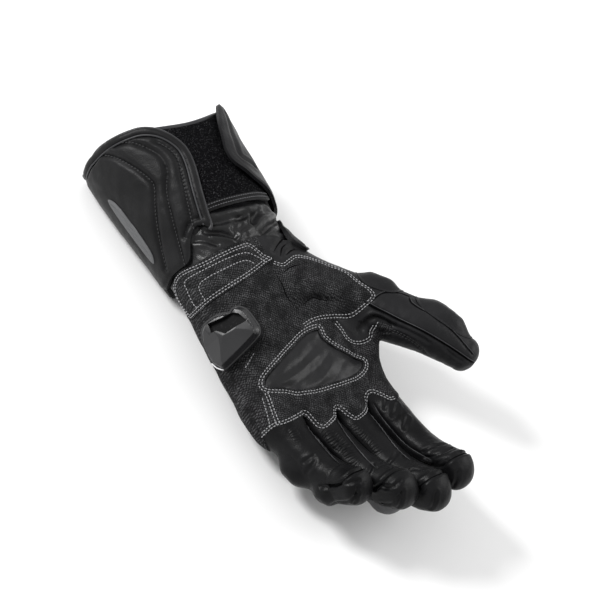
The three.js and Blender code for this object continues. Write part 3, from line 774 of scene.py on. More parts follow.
# Raw cut edges: lighter than the grain side, and lighter still as painted highlight where they catch the
# light.
RAW_EDGE_AND_HIGHLIGHT = leather("raw_edge_and_highlight", (0.026, 0.026, 0.028), (0.06, 0.06, 0.063), 0.5, 0.5)
SHADOW_LINE = leather("seam_shadow", (0.0005, 0.0005, 0.0006), (0.001, 0.001, 0.0012), 0.8, 0.5, 0.05)
PALE_THREAD = thread("pale_thread", (0.17, 0.17, 0.175), (0.36, 0.36, 0.37))
DARK_THREAD = thread("dark_thread", (0.006, 0.006, 0.007), (0.022, 0.022, 0.023))
GREY_THREAD = thread("grey_thread", (0.03, 0.03, 0.032), (0.085, 0.085, 0.09))
SHELL = plastic("slider_plastic", (0.006, 0.006, 0.0068), (0.012, 0.012, 0.013), 0.3, 0.08, 0.42)
RECESS = plastic("slider_recess", (0.0015, 0.0015, 0.0018), (0.003, 0.003, 0.0035), 0.16, 0.0, 0.16)
# Near white: a painted highlight along the slider's lower edge.
SLIDER_HIGHLIGHT = plastic("slider_painted_highlight", (0.4, 0.4, 0.41), (0.6, 0.6, 0.61), 0.3, 0.0)
RUBBER = plastic("inlay_rubber", (0.055, 0.056, 0.058), (0.085, 0.086, 0.089), 0.5, 0.0)


# Lines on the glove: seams, folds and rows of stitches

# Where the palm leather meets each finger, seen from above, from the index to the little finger
FINGER_SEAM = np.array([
    (-72, 112), (-64, 118), (-58, 122), (-50, 127), (-44.5, 126.5), (-41, 122), (-37, 117.5), (-34.5, 118),
    (-32.5, 123), (-27, 127.5), (-21, 130), (-15.5, 130.5), (-12.5, 126), (-10, 121), (-8, 119), (-6, 121.5),
    (-3, 125), (4, 128), (9, 129), (12.5, 126), (14.5, 120.5), (16.5, 116), (19, 116.5), (28, 118), (34, 118),
    (38, 116.5), (43, 116.5), (50, 115.5), (60, 115),
], float)
BACK_SEAM = 123
INSIDE, OUTSIDE = 9.0, -9.0  # distances where no outline is near
THUMB_SIDE = -72  # fingers lie on the little finger's side of this


def finger_seam(p):
    """Where along the glove the fingers' own pieces start, at points of the skin."""
    palm = np.interp(p[:, 0], FINGER_SEAM[:, 0], FINGER_SEAM[:, 1])
    share = smooth_step((p[:, 2] - 17) / 8)
    return BACK_SEAM + (palm - BACK_SEAM) * share


# Edge of the palm leather towards the thumb, from the heel panel's corner to the web
THENAR = [(-7, 22), (-12, 26), (-17, 25), (-25, 23.5), (-38, 28), (-46, 34), (-54, 42), (-57.5, 52),
          (-61, 60), (-61, 66), (-56, 69), (-46, 70.5), (-35, 67.5), (-26, 65.5), (-18, 65), (-12, 66)]
GUSSET = [(-32, 69), (-36, 75), (-39, 81), (-47, 86), (-55, 86), (-58, 81)]
PALM_LEATHER = np.array([(75, -20), (-5, -20), (-6, 20), *THENAR[1:13], *GUSSET, (-63, 88), (-65, 100),
                         (-68, 118), (-68, 150), (75, 150)], float)
LEAF = [(-21, 68), (-9, 68), (2, 72), (18, 79), (29, 84), (33.5, 88), (34.5, 92), (31, 96), (23, 99),
        (14, 103), (3, 105), (-9, 105.5), (-20, 106), (-33, 105), (-42, 101), (-44.5, 95), (-36, 89),
        (-27, 82), (-22, 75)]
LEAF_RIDGES = [
    [(28, 95), (17, 93.3), (3, 89.6), (-10, 85)],
    [(9, 104), (-4, 100.5), (-11, 97), (-18, 92)],
]
LEAF_VALLEYS = [
    [(30, 90.5), (17, 88.5), (3, 84.8), (-10, 80)],
    [(23, 98), (12.4, 96.6), (0.6, 93.6), (-8.4, 91), (-18, 86.5)],
    [(-8, 105), (-15, 101.5), (-21, 98), (-28, 93)],
    [(-14, 72), (-18, 78)],
]
THENAR_PAD = [(-5, 37), (-3, 44), (-7, 51), (-14, 52), (-24, 53), (-33, 57), (-41, 60), (-46, 54), (-42, 46),
              (-34, 38), (-22, 34.5), (-12, 34)]
ARC = math.radians(44)  # millimetres to a degree round the cuff and heel
# Heel panel and the lines sewn on it, as (angle round the glove, y)
HEEL = [(9, 1.2), (36, 5.5), (56, 6.4), (75, 6.3), (82, 6.6), (87, 10), (92, 16.5), (97.5, 22), (87, 24.2),
        (70, 27.5), (55, 29.2), (39, 30), (20, 30), (-3, 29), (-15, 26.5), (-22, 14), (-19, 6), (-8, 1.6)]
HEEL_LINES = [
    [(9, 28), (5, 22), (6, 14), (10, 8.5), (37, 11), (57, 12), (75, 13), (84, 17.5), (88.5, 21.8)],
    [(23, 28.5), (21.5, 22), (25, 16.5), (51, 17), (71, 17.3), (77.5, 20.5)],
]


def inset(outline, depth, closed=True):
    """A dense outline moved inwards, or to the left of its run."""
    line = dense(outline, 0.5, closed)
    if closed:
        line = line[:-1]
        along = way_round(line)
        area = (line[:, 0] * np.roll(line[:, 1], -1) - line[:, 1] * np.roll(line[:, 0], -1)).sum()
        depth = depth * np.sign(area)
    else:
        along = unit(np.gradient(line, axis=0))
    return line + np.column_stack([-along[:, 1], along[:, 0]]) * depth


def flat_heel(marks):
    return np.asarray(marks, float) * [ARC, 1]


def heel_line(marks, depth=0.0, closed=False):
    """A line on the hand from rows of (angle, y), moved to its left."""
    line = inset(flat_heel(marks), depth, closed)
    return round_palm(line / [ARC, 1])


def limb_line(name, marks, step=0.5):
    """A line on the outside of a limb from rows of (share, angle)."""
    line = dense(np.asarray(marks, float) * [100, 0.22], 0.4) / [100, 0.22]
    field = hand_field if name == "thumb" else finger_field(name)
    return evenly(settled(LIMBS[name].at(line), field, 4)[0], step)


TAB = [(34, 94), (35, 102), (36, 109), (36.5, 115)]
FINGER_ROW = FINGER_SEAM[3:27]
# Rows of stitches on the palm, in the order they are sewn, as (line, how far to its left)
PALM_ROWS = [
    (THENAR, -0.7), (THENAR, -2.3), (LEAF, -0.8), (TAB, -0.8), (LEAF, 0.8), (TAB, 0.8),
    (GUSSET, 0.9), (FINGER_ROW, -0.9), (GUSSET, 2.5), (FINGER_ROW, -2.5),
    ([(28.5, 69.5), (32, 72), (36, 75)], 0),
    ([(37.5, 96), (38.5, 103), (39.5, 110), (40, 114)], 0),
]
THUMB_ROW = [(0.45, -14), (0.49, -2), (0.53, 5), (0.58, 10), (0.65, 7), (0.70, 0), (0.76, -18)]
ROWS = {
    "heel": [*[heel_line(HEEL, depth, True) for depth in (1.2, 2.9)], *map(heel_line, HEEL_LINES)],
    "palm": [on_palm(inset(marks, side, marks is LEAF)) for marks, side in PALM_ROWS],
    "thumb": [limb_line("thumb", np.array(THUMB_ROW) + [0, side]) for side in (-3, 3)],
}

THUMB_SEAM = limb_line("thumb", [(0.40, 56), (0.46, 50), (0.52, 46), (0.60, 41), (0.69, 39), (0.79, 38),
                                 (0.88, 38), (0.95, 37), (0.99, 36)])
THUMB_LOWER = limb_line("thumb", [(0.42, 60), (0.44, 70), (0.465, 87), (0.50, 101), (0.545, 109),
                                  (0.585, 112)])
THUMB_UPPER = limb_line("thumb", [(0.59, 106), (0.605, 94), (0.64, 88), (0.70, 86), (0.78, 85), (0.85, 79),
                                  (0.91, 70), (0.96, 62)])
# Folds as (line, depth, half width): on the thumb by (share, angle), on the palm seen from above
THUMB_FOLDS = [
    ([(0.41, -4), (0.42, 6), (0.435, 20), (0.475, 29), (0.52, 28), (0.56, 24)], 2.0, 2.6),
    ([(0.41, 18), (0.44, 34), (0.47, 40), (0.52, 38), (0.56, 34)], -1.2, 1.6),
    ([(0.55, 20), (0.61, 25), (0.68, 24), (0.75, 20)], 0.8, 1.4),
    ([(0.83, 30), (0.88, 22), (0.94, 22), (0.98, 30)], 0.9, 1.2),
]
PALM_FOLDS = [
    ([(-4, 26), (-5, 31), (-6, 38), (-6, 45), (-8, 50), (-11, 55)], 1.2, 1.8),
    ([(-11, 55), (-16, 53.5), (-23, 52), (-29, 55), (-39, 59)], 1.3, 1.8),
    ([(-7, 34), (-12, 31.5), (-18, 30.5), (-27, 31)], 0.8, 1.5),
    ([(27, 63), (22, 70), (20, 78)], 0.9, 2.2),
    ([(36, 66), (33, 74), (36, 84), (38, 96)], 0.8, 2.4),
    ([(38, 90), (37, 100), (39, 112)], 0.9, 2.0),
    ([(14, 109), (20, 105), (27, 104), (33, 108)], 0.9, 2.0),
    ([(-50, 100), (-44, 106), (-40, 112)], 0.9, 2.0),
    ([(40, 69), (30, 72), (20, 71), (12, 74)], 0.5, 1.2),
    ([(22, 62), (26, 69), (34, 75), (38, 82)], 0.5, 1.3),
    ([(-30, 112), (-22, 111), (-14, 113)], 0.5, 1.2),
    ([(-2, 112), (6, 111), (13, 113)], 0.5, 1.2),
    ([(-9, 109), (-9, 113), (-8.5, 118)], 0.8, 1.4),
    ([(17.5, 106), (17, 111), (16.5, 116)], 0.8, 1.4),
    ([(-37, 108), (-37, 112), (-36, 117)], 0.7, 1.3),
    ([(16, 104), (8, 108), (-4, 113)], 1.0, 2.2),
    ([(22, 118), (24, 112), (20, 108)], 0.9, 2.0),
]
# Folds of the smooth leather between the heel panel and the thumb
WRIST_FOLDS = [
    ([(-36, 8), (-27, 9), (-19, 12.5), (-12, 17)], 1.5, 1.8),
    ([(-26, 13), (-19.5, 16), (-15, 21)], 1.2, 1.4),
    ([(-30, 18), (-24, 19.5), (-19, 21.5)], 1.0, 1.3),
    ([(-13, 6), (-20, 7.5), (-28, 13)], -0.9, 1.8),
]


# The hand

FACING_UP = 0.2  # least upward part of the skin's direction on the palm


def engrave(rise, p, lines, deep, wide, reach):
    """Cut a groove along every line into a relief."""
    for line in lines:
        rise -= deep * bell(distance_to(p, line, reach) / wide)


def hand_relief(p, out):
    """Grooves of seams and folds over a soft ripple, and the swelling of the thumb's ball."""
    rise = 0.14 * ripple(p, 17, 3) + 0.06 * ripple(p, 6, 4)
    engrave(rise, p, [np.concatenate(ROWS["palm"] + ROWS["heel"])], 0.42, 0.85, 3)
    engrave(rise, p, [THUMB_LOWER, THUMB_UPPER], 0.55, 0.7, 3)
    engrave(rise, p, [THUMB_SEAM], 1.5, 0.9, 4)
    for marks, deep, wide in THUMB_FOLDS:
        engrave(rise, p, [limb_line("thumb", marks)], deep, wide, 3.5 * wide)
    engrave(rise, p, ROWS["thumb"], 0.6, 1.0, 4)
    for marks, deep, wide in PALM_FOLDS + WRIST_FOLDS:
        engrave(rise, p, [on_palm(dense(marks, 0.6))], deep, wide, 4)
    pad = np.where(out[:, 2] > FACING_UP, inside_distance(p[:, :2], dense(THENAR_PAD, 1.5, True)), OUTSIDE)
    return rise + 1.1 * smooth_step(pad / 4)


def round_edge(distance, thick, width=1.1):
    """How high a turned edge of that thickness stands at a distance inside its outline."""
    t = np.clip(1 - distance / width, 0, 1)
    return thick * np.sqrt(1 - 0.85 * t * t)


place, out, faces = skin_mesh(hand_field, (-128, -6, -2.4), (58, 134, 84))
HAND = Sheet(place, out, faces, hand_relief(place, out))
HAND_TREE = tree_of(HAND.place)


def palm_leather(p):
    """Signed distance inside the palm leather's outline, seen from above and cut at the side seam."""
    side = SIDE_SEAM + 8 * smooth_step((-20 - p[:, 0]) / 20)
    return np.minimum(inside_distance(p[:, :2], PALM_LEATHER), (p[:, 2] - side) * 0.9)


def on_hand(line, lift):
    """A line raised onto the hand's relief and that much more, with the directions outward."""
    near = [HAND_TREE.find(point)[1] for point in line.tolist()]
    out = HAND.out[near]
    return line + out * (HAND.rise[near] + lift)[:, None], out


def make_palm():
    """The palm leather and the back of the hand; what is left over is the thumb's."""
    all_hand, leaf_gap, leather_lift = 50, 2.4, 0.75
    hand = HAND.cut(HAND.place[:, 1] - CUFF_SEAM)
    to_fingers = finger_seam(hand.place) - hand.place[:, 1]
    hand = hand.cut(np.where(hand.place[:, 0] > THUMB_SIDE, to_fingers, all_hand))
    inside = palm_leather(hand.place)
    palm = hand.cut(inside)
    edge = np.minimum(palm_leather(palm.place), finger_seam(palm.place) - palm.place[:, 1])
    palm = palm.raised(round_edge(edge, leather_lift))
    leaf = inside_distance(palm.place[:, :2], inset(LEAF, leaf_gap))
    palm = palm.cut(np.where(palm.out[:, 2] > FACING_UP, -leaf, INSIDE))
    piece("palm_panel", palm.walled(WALL - 0.4), SUEDE, ["palm_panel"])
    rest = hand.cut(-inside)
    thumb_root, step_down = 25, 10
    low = thumb_root - rest.place[:, 2] - step_down * smooth_step((rest.place[:, 0] + 20) / 20)
    piece("back_panel", rest.cut(low).walled(WALL), SMOOTH, ["back_panel"])
    return rest.cut(-low)


def make_leaf():
    """The smooth leaf: a soft swelling with broad facets between its ridges and valleys."""
    outline = inset(LEAF, 1.2)
    facing = HAND.out[:, 2] > FACING_UP
    leaf = HAND.cut(np.where(facing, inside_distance(HAND.place[:, :2], outline), OUTSIDE))
    edge = inside_distance(leaf.place[:, :2], outline)
    swell = -0.35 + 1.5 * smooth_step(edge / 7)
    flat = level(leaf.place[:, :2])
    high, low = (distance_to(flat, level(np.concatenate([dense(marks, 0.8) for marks in lines])), 14)
                 for lines in (LEAF_RIDGES, LEAF_VALLEYS))
    tall = 1.4 + 0.5 * ripple(leaf.place, 22, 22)
    swell += tall * (low / (low + high + 0.5) - 0.3) * smooth_step(edge / 4)
    swell += 0.06 * ripple(leaf.place, 5, 21) * smooth_step(edge / 3)
    piece("palm_leaf", leaf.raised(swell).walled(0, -1.5), LEAF_LEATHER, ["palm_leaf"])


def make_heel():
    p = HAND.place
    x, half, z, tall = section(p[:, 1])
    angle = np.degrees(np.arctan2((p[:, 2] - z) / tall, (p[:, 0] - x) / half))
    flat = np.column_stack([angle * ARC, p[:, 1]])
    edge = inside_distance(flat, dense(flat_heel(HEEL), 0.8, True)[:-1])
    heel = HAND.raised(0.75 + round_edge(np.maximum(edge, 0), 1.1)).cut(edge)
    piece("heel_panel", heel.walled(0, 0.1), SUEDE, ["heel_panel"])


def pad_edge(share, angle, middle, long, at, wide, size):
    """Roughly how far inside a rounded pad's outline points are, from their share and angle."""
    span = np.abs((share - middle) / long) ** 3 + np.abs(turned_from(angle, at) / wide) ** 3
    return (1 - span ** (1 / 3)) * size


def make_pad(name, sheet, edge, high, run, finish):
    """A padded patch that stands high on a sheet and falls off over a run at its edge."""
    pad = sheet.raised(0.1 + high * smooth_step(edge / run)).cut(edge)
    piece(name, pad.walled(0, 0.1), finish, [name])


# name, middle and half length as shares of the thumb, height, angle, half width in degrees
THUMB_PADS = [
    ("thumb_pad_lower", 0.43, 0.12, 4.0, 150, 56),
    ("thumb_pad_upper", 0.765, 0.155, 4.6, 142, 58),
]


def make_thumb(rest):
    thumb = LIMBS["thumb"]
    share, angle = thumb.coordinates(rest.place)
    near = near_limb(rest.place, thumb, 26)
    tip = np.where(near, share - THUMB_TIP_SEAM, -0.3) * thumb.length
    piece("thumb", rest.cut(-tip).walled(WALL), SMOOTH, ["thumb"])
    piece("thumb_tip", rest.cut(tip).walled(WALL), SMOOTH, ["thumb_tip"])
    for name, middle, long, high, at, wide in THUMB_PADS:
        edge = np.where(near, pad_edge(share, angle, middle, long, at, wide, 12), OUTSIDE)
        make_pad(name, rest.raised(0.02), edge, high, 8, SMOOTH)


def beside(line, away):
    """A line on the hand that far to the side of another."""
    _, out = settled(line, hand_field, 1)
    side = unit(np.cross(out, unit(np.gradient(line, axis=0))))
    return settled(line + side * away, hand_field, 3)[0]


def make_creases():
    """Crisp dark lines of painted shade in the thumb's seams and the palm's deepest folds, with the pale lips
    beside them, partly painted highlight.
    """
    dark, lips = [], []
    thumb_seams = ((THUMB_SEAM, 0.45, 1.0), (THUMB_UPPER, 0.22, 0.35), (THUMB_LOWER, 0.16, 0.4))
    for line, radius, sunk in thumb_seams:
        dark.append(tube(line - slope_of(hand_field, line) * sunk, radius, 8))
        lip = beside(line, 0.5 + 1.2 * radius)
        lips.append(tube(lip - slope_of(hand_field, lip) * 0.12, 0.14 + 0.3 * radius, 8))
    for folded, lift in ((PALM_FOLDS, 0.55), (WRIST_FOLDS, -0.05)):
        for marks, _, _ in folded[:3]:
            line = on_palm(dense(marks, 0.6))
            taper = np.sin(np.linspace(0.15, np.pi - 0.15, len(line)))
            dark.append(tube(on_hand(line, lift)[0], 0.48 * taper, 8))
    piece("crease_lines", merged(dark), SHADOW_LINE)
    piece("thumb_seam_edges", merged(lips), RAW_EDGE_AND_HIGHLIGHT)


# Fingers: seams, folds and ribs as rows of (share of the length, angle)
OUTER_SEAM = [(0.25, 30), (0.45, 25), (0.65, 22), (0.76, 20)]
FINGER_LINES = {
    "index": dict(
        seams=[[(0.20, 40), (0.28, 34), (0.42, 29), (0.55, 28), (0.69, 31), (0.8, 30)],
               [(0.2, 150), (0.4, 158), (0.6, 160), (0.78, 158)]],
        folds=[[(0.21, 85), (0.24, 70), (0.27, 55)], [(0.29, 92), (0.33, 72), (0.34, 58)],
               [(0.41, 88), (0.44, 70), (0.46, 60)]],
        tip=[[(0.70, 40), (0.735, 66), (0.77, 88), (0.775, 110)],
             [(0.735, 28), (0.81, 50), (0.85, 72), (0.86, 100)],
             [(0.80, 20), (0.88, 40), (0.93, 66), (0.94, 100)]],
        ribs=None),
    "middle": dict(
        seams=[[(0.22, 140), (0.34, 126), (0.46, 112), (0.57, 104), (0.7, 98)],
               OUTER_SEAM],
        folds=[[(0.58, 90), (0.6, 70), (0.6, 50)]],
        tip=[[(0.76, 40), (0.775, 67), (0.84, 84), (0.88, 110)], [(0.9, 40), (0.93, 70), (0.95, 110)]],
        ribs=dict(marks=[(0.20, 50), (0.28, 54), (0.36, 56), (0.44, 57), (0.53, 59)],
                  wide=2.6, pitch=1.7, deep=0.17)),
    "ring": dict(
        seams=[[(0.25, 122), (0.35, 106), (0.46, 98), (0.59, 88), (0.75, 72)],
               OUTER_SEAM],
        folds=[[(0.7, 80), (0.72, 55), (0.71, 35)]],
        tip=[[(0.81, 12), (0.84, 31), (0.9, 28), (0.95, 34), (0.97, 60)],
             [(0.84, -30), (0.93, -20), (0.98, 10)]],
        ribs=dict(marks=[(0.22, 58), (0.32, 63), (0.42, 64), (0.52, 63), (0.66, 56)],
                  wide=3.6, pitch=1.9, deep=0.26)),
    "little": dict(
        seams=[[(0.26, 138), (0.40, 130), (0.52, 122), (0.64, 111), (0.76, 98)]],
        folds=[[(0.51, 34), (0.525, 50), (0.535, 66)], [(0.57, 20), (0.58, 40), (0.57, 60)]],
        tip=[[(0.775, 5), (0.79, 17), (0.88, 25), (0.955, 34), (0.985, 58)],
             [(0.78, -52), (0.84, -36), (0.93, -26), (0.98, -12)]],
        ribs=dict(marks=[(0.23, 72), (0.31, 69), (0.40, 61)], wide=2.4, pitch=1.7, deep=0.15)),
}


# The turned edge round each fingertip, and short creases towards it
TIP_WRAP = {
    "index": [(0.74, 10), (0.82, 16), (0.90, 30), (0.945, 60), (0.955, 100), (0.935, 135), (0.88, 158),
              (0.80, 168)],
    "middle": [(0.74, 14), (0.82, 18), (0.89, 30), (0.94, 60), (0.955, 100), (0.935, 135), (0.88, 158),
               (0.80, 168)],
    "ring": [(0.72, 8), (0.79, 14), (0.85, 35), (0.885, 62), (0.915, 95), (0.94, 128), (0.93, 155),
             (0.86, 170)],
    "little": [(0.72, 4), (0.78, 12), (0.86, 22), (0.92, 45), (0.95, 80), (0.95, 115), (0.91, 145),
               (0.84, 162)],
}
TIP_CREASES = [[(0.985, 20), (0.975, -20), (0.95, -40)]]

# Pads on the fingers' backs, as (middle and half length as shares of the finger, height)
PADS = {name: ((0.555, 0.085, 3.0), (0.72, 0.085, 3.0)) for name in ORDER}
PADS["ring"] = ((0.555, 0.085, 3.0), (0.80, 0.11, 4.8))
PADS["little"] = ((0.47, 0.15, 4.6), (0.72, 0.10, 3.8))
PALE_PAD = "ring_pad_2"


RIB_STEP = 0.3  # along a strip of ribs


def make_ribs(name, field, marks, wide, pitch, deep):
    """A strip of leather ruched along a line on the skin."""
    line = limb_line(name, marks, RIB_STEP)
    across = np.linspace(-1, 1, 15)
    way, out = unit(np.gradient(line, axis=0)), slope_of(field, line)
    side = unit(np.cross(out, way))
    spots = (line[:, None] + side[:, None] * (across * wide * 1.5)[None, :, None]).reshape(-1, 3)
    place, out = settled(spots, field, 3)
    run = np.repeat(np.arange(len(line)) * RIB_STEP, len(across))
    side = np.tile(across, len(line))
    bend = run + 0.5 * np.sin(side * 2.2 + run * 0.35) + 0.25 * np.sin(run * 1.7)
    ends = smooth_step(run / 5) * smooth_step((len(line) * RIB_STEP - run) / 6)
    fade = (1 - side * side) ** 0.7 * ends
    rise = -0.3 + fade * (0.42 + deep * (0.5 + np.sin(bend * 2 * np.pi / pitch)))
    points, faces = Sheet(place, out, grid_faces(len(line), len(across)), rise).walled(0, -0.9)
    piece(f"{name}_ribs", (points, faces[:, ::-1]), FINGER_LEATHER)


def lipped(p, line, deep, wide, high, far, broad):
    """Relief of a groove along a line with a lip on either side."""
    away = distance_to(p, line, 6)
    return high * bell((away - far) / broad) - deep * bell(away / wide)


def finger_relief(name, place, seams):
    marks = FINGER_LINES[name]
    rise = 0.12 * ripple(place, 15, 11) + 0.045 * ripple(place, 5.5, 12)
    engrave(rise, place, seams, 0.7, 0.9, 4)
    for line in marks["folds"]:
        rise += lipped(place, limb_line(name, line), 0.6, 1.0, 0.35, 2.4, 1.2)
    for line in marks["tip"] + TIP_CREASES:
        rise += lipped(place, limb_line(name, line), 0.8, 0.8, 0.3, 2.1, 1.0)
    return rise + lipped(place, limb_line(name, TIP_WRAP[name]), 1.2, 0.9, 0.4, 2.2, 1.1)


def make_finger(name):
    """One finger's stall, fingertip, pads and ribs; gives back its seams."""
    limb, field, marks = LIMBS[name], finger_field(name), FINGER_LINES[name]
    low = np.array([limb.line[:, 0].min() - 24, 107, -2.4])
    high = np.array([limb.line[:, 0].max() + 24, limb.line[:, 1].max() + 18, 84])
    place, out, faces = skin_mesh(field, low, high)
    seams = [limb_line(name, line) for line in marks["seams"]]
    wrap = limb_line(name, TIP_WRAP[name])
    # A dark tube sunk into the groove round the fingertip: painted shade.
    piece(f"{name}_tip_seam", tube(wrap - slope_of(field, wrap) * 0.75, 0.45, 8), SHADOW_LINE)
    if marks["ribs"]:
        make_ribs(name, field, **marks["ribs"])
    whole = Sheet(place, out, faces, finger_relief(name, place, seams)).cut(place[:, 1] - finger_seam(place))
    share, angle = limb.coordinates(whole.place)
    past = (share - TIP_SEAM) * limb.length + 1.2 * np.sin(np.radians(angle * 2))
    stall = whole.raised(-0.35 * bell(past / 0.8)).cut(-past)
    piece(f"{name}_finger", stall.walled(WALL), FINGER_LEATHER, [f"{name}_finger"])
    tip = whole.raised(0.25 * smooth_step(past / 0.6)).cut(past)
    piece(f"{name}_tip", tip.walled(WALL), FINGER_LEATHER, [f"{name}_tip"])
    for k, (middle, long, high) in enumerate(PADS[name]):
        edge = pad_edge(share, angle, middle, long, FINGERS[name]["pad_side"], 58, 9)
        known = f"{name}_pad_{k + 1}"
        make_pad(known, whole, edge, high, 7, EDGE if known == PALE_PAD else FINGER_LEATHER)
    return seams


rest = make_palm()
make_leaf()
make_heel()
make_thumb(rest)
make_creases()
FINGER_SEAMS = {name: make_finger(name) for name in ORDER}


# The cuff, its flaps and its tape

def mouth(angle):
    """Where along the glove the cuff's mouth is, at an angle round it."""
    palm_in, back_out = 14.5, -4
    s = np.sin(np.radians(angle))
    return -90 + np.where(s > 0, palm_in, back_out) * s * s


def round_cuff(marks, lift=0.0):
    """Points that far off the cuff's skin at rows of (angle round the glove, y)."""
    marks = np.asarray(marks, float)
    x, half, z, tall = section(marks[:, 1])
    c, s = np.cos(np.radians(marks[:, 0])), np.sin(np.radians(marks[:, 0]))
    r = (np.abs(c) ** BODY_POWER + np.abs(s) ** BODY_POWER) ** (-1 / BODY_POWER)
    x = x + (half + lift) * c * r
    up = z + (tall + lift) * s * r - cup(x, marks[:, 1]) * np.clip(2 * s, 0, 1)
    return np.column_stack([x, marks[:, 1], np.maximum(up, np.maximum(0, -np.asarray(lift)))])


def lift_at(lift, marks):
    """A lift that is either one value or worked out from rows of (angle, y)."""
    return lift(marks) if callable(lift) else lift + 0 * marks[:, 0]


def cuff_sheet(outline, lift, step=0.85):
    """A sheet over the cuff inside an outline of (angle, y), with its flat places and edge distance."""
    outline = np.asarray(outline, float)
    low, high = outline.min(0) - [2, 1.5], outline.max(0) + [2, 1.5]
    angles = np.linspace(low[0], high[0], int((high[0] - low[0]) * ARC / step) + 1)
    ys = np.linspace(low[1], high[1], int((high[1] - low[1]) / step) + 1)
    marks = np.stack(np.meshgrid(ys, angles, indexing="ij")[::-1], -1).reshape(-1, 2)
    flat = marks * [ARC, 1]
    edge = inside_distance(flat, dense(outline * [ARC, 1], 0.8, True)[:-1])
    place = round_cuff(marks, lift_at(lift, marks))
    faces = grid_faces(len(ys), len(angles))
    normal = np.cross(place[faces[:, 1]] - place[faces[:, 0]], place[faces[:, 2]] - place[faces[:, 0]])
    out = np.zeros_like(place)
    for k in range(3):
        np.add.at(out, faces[:, k], normal)
    out = unit(out)
    middle = section(marks[:, 1])
    away = ((place - np.column_stack([middle[0], marks[:, 1], middle[2]])) * out).sum(1)
    if np.median(away) < 0:
        out, faces = -out, faces[:, ::-1]
    return Sheet(place, out, faces), marks, flat, edge


def folds(flat, lines):
    """Relief of creases along lines of (angle, y), as (line, depth, half width)."""
    rise = np.zeros(len(flat))
    for marks, depth, wide in lines:
        away = distance_to(level(flat), level(dense(flat_heel(marks), 0.8)), 4 * wide)
        rise += depth * bell(away / wide) - 0.4 * depth * bell((away - 2.2 * wide) / wide)
    return rise


def closed_wall(sheet, below, edge):
    """A closed mesh between a sheet and what stands below off its places, cut at its edge."""
    data = np.column_stack([sheet.outer(), sheet.place + sheet.out * below[:, None]])
    data, faces = clipped(data, sheet.faces, edge)
    return shell(data[:, :3], data[:, 3:], faces)


def cuff_piece(name, outline, lift, relief, thick, finish):
    """A piece of the cuff; one that the frame knows takes its place there."""
    sheet, marks, flat, edge = cuff_sheet(outline, lift)
    rise = relief(marks, flat, edge, sheet.place)
    known = [name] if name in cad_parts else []
    return piece(name, closed_wall(sheet.raised(rise), 0.6 * rise - thick, edge), finish, known)


CUFF_FOLDS = [
    ([(62, -16.5), (75, -15), (93, -14.2), (112, -14), (131, -14)], 1.3, 2.4),
    ([(60, -12), (75, -10.5), (90, -10), (102, -10.5)], -1.3, 1.7),
    ([(136, -10), (118, -7), (103, -3), (90, 1)], 1.6, 2.4),
    ([(134, -4.5), (118, -1), (103, 4)], -1.7, 1.9),
    ([(54, -8.5), (64, -5), (74, 0.5)], -1.6, 1.6),
    ([(56, -3.5), (64, 0), (70, 3)], 1.0, 1.5),
    ([(101, -12), (95, -7), (91, -3), (80, 2)], 1.3, 2.0),
    ([(112, -11.5), (104, -7.5), (98, -4)], -1.4, 1.6),
    ([(40, -8), (48, -5), (56, 1)], -1.0, 1.4),
    ([(80, -7), (76, -3), (78, 1)], -1.0, 1.5),
]


def make_cuff():
    """The cuff's tube with its folds near the wrist, its bound rim and the cord beside it."""
    columns, rows, thick = 310, 112, 2.0
    angles = np.arange(columns) / columns * 360
    t = np.linspace(0, 1, rows)[:, None]
    start = mouth(angles)[None]
    marks = np.stack([np.broadcast_to(angles, (rows, columns)), start + (CUFF_SEAM - 0.2 - start) * t], -1)
    marks = marks.reshape(-1, 2)
    flat = marks * [ARC, 1]
    skin = round_cuff(marks)
    relief = folds(flat, CUFF_FOLDS) + 0.24 * ripple(skin, 14, 31) + 0.08 * ripple(skin, 5, 32)
    relief *= smooth_step((marks[:, 1] + 40) / 15) * smooth_step((5.5 - marks[:, 1]) / 3)
    outer, inner = round_cuff(marks, relief), round_cuff(marks, -thick)
    faces = grid_faces(rows, columns, True)
    piece("cuff_shell", shell(outer, inner, faces[:, ::-1]), CUFF_LEATHER, ["cuff_shell"])
    bead = 1.7
    rim = round_cuff(np.column_stack([angles, mouth(angles) - 0.6]), -0.8)
    rim[:, 2] = np.maximum(rim[:, 2], bead)
    piece("rim_binding", tube(rim, bead, 12, True), EDGE, ["rim_binding"])
    around = np.linspace(52, 134, 120)
    cord = round_cuff(np.column_stack([around, mouth(around) + 2.9]), 0.9)
    piece("rim_cord", tube(cord, 0.6), EDGE)


OUTER_FLAP = [(-51, -92), (-30, -91), (-5, -90.5), (0, -90), (23, -88), (42, -85), (53, -82),
              (63, -76), (70, -68), (73.5, -59), (72, -48), (66, -32), (61.5, -18), (59.5, -10.5),
              (57.5, -8.5), (54, -12), (47, -13), (38, -8), (28, 1), (13, 1), (0, 0), (-26, 0),
              (-38, -2), (-51, -4)]
FLAP_SEAMS = [[(14, -84), (23, -77), (31, -66), (37, -54), (37, -47), (28, -37), (16, -24), (-2, -6)],
              [(30, -83), (41, -78), (50, -68), (54, -60), (52, -51), (43, -40), (34, -23), (22, 1)],
              [(57, -70), (62.5, -61), (63, -53), (58, -41), (52, -27), (46, -13)]]
FREE_EDGE = slice(4, 15)  # of the outline, from the mouth to the tip
CORD_INSET = 4.4
INLAY = [(-12, -60), (-8, -62), (-3, -52), (-3, -24), (-8, -15), (-13, -17), (-14, -40)]


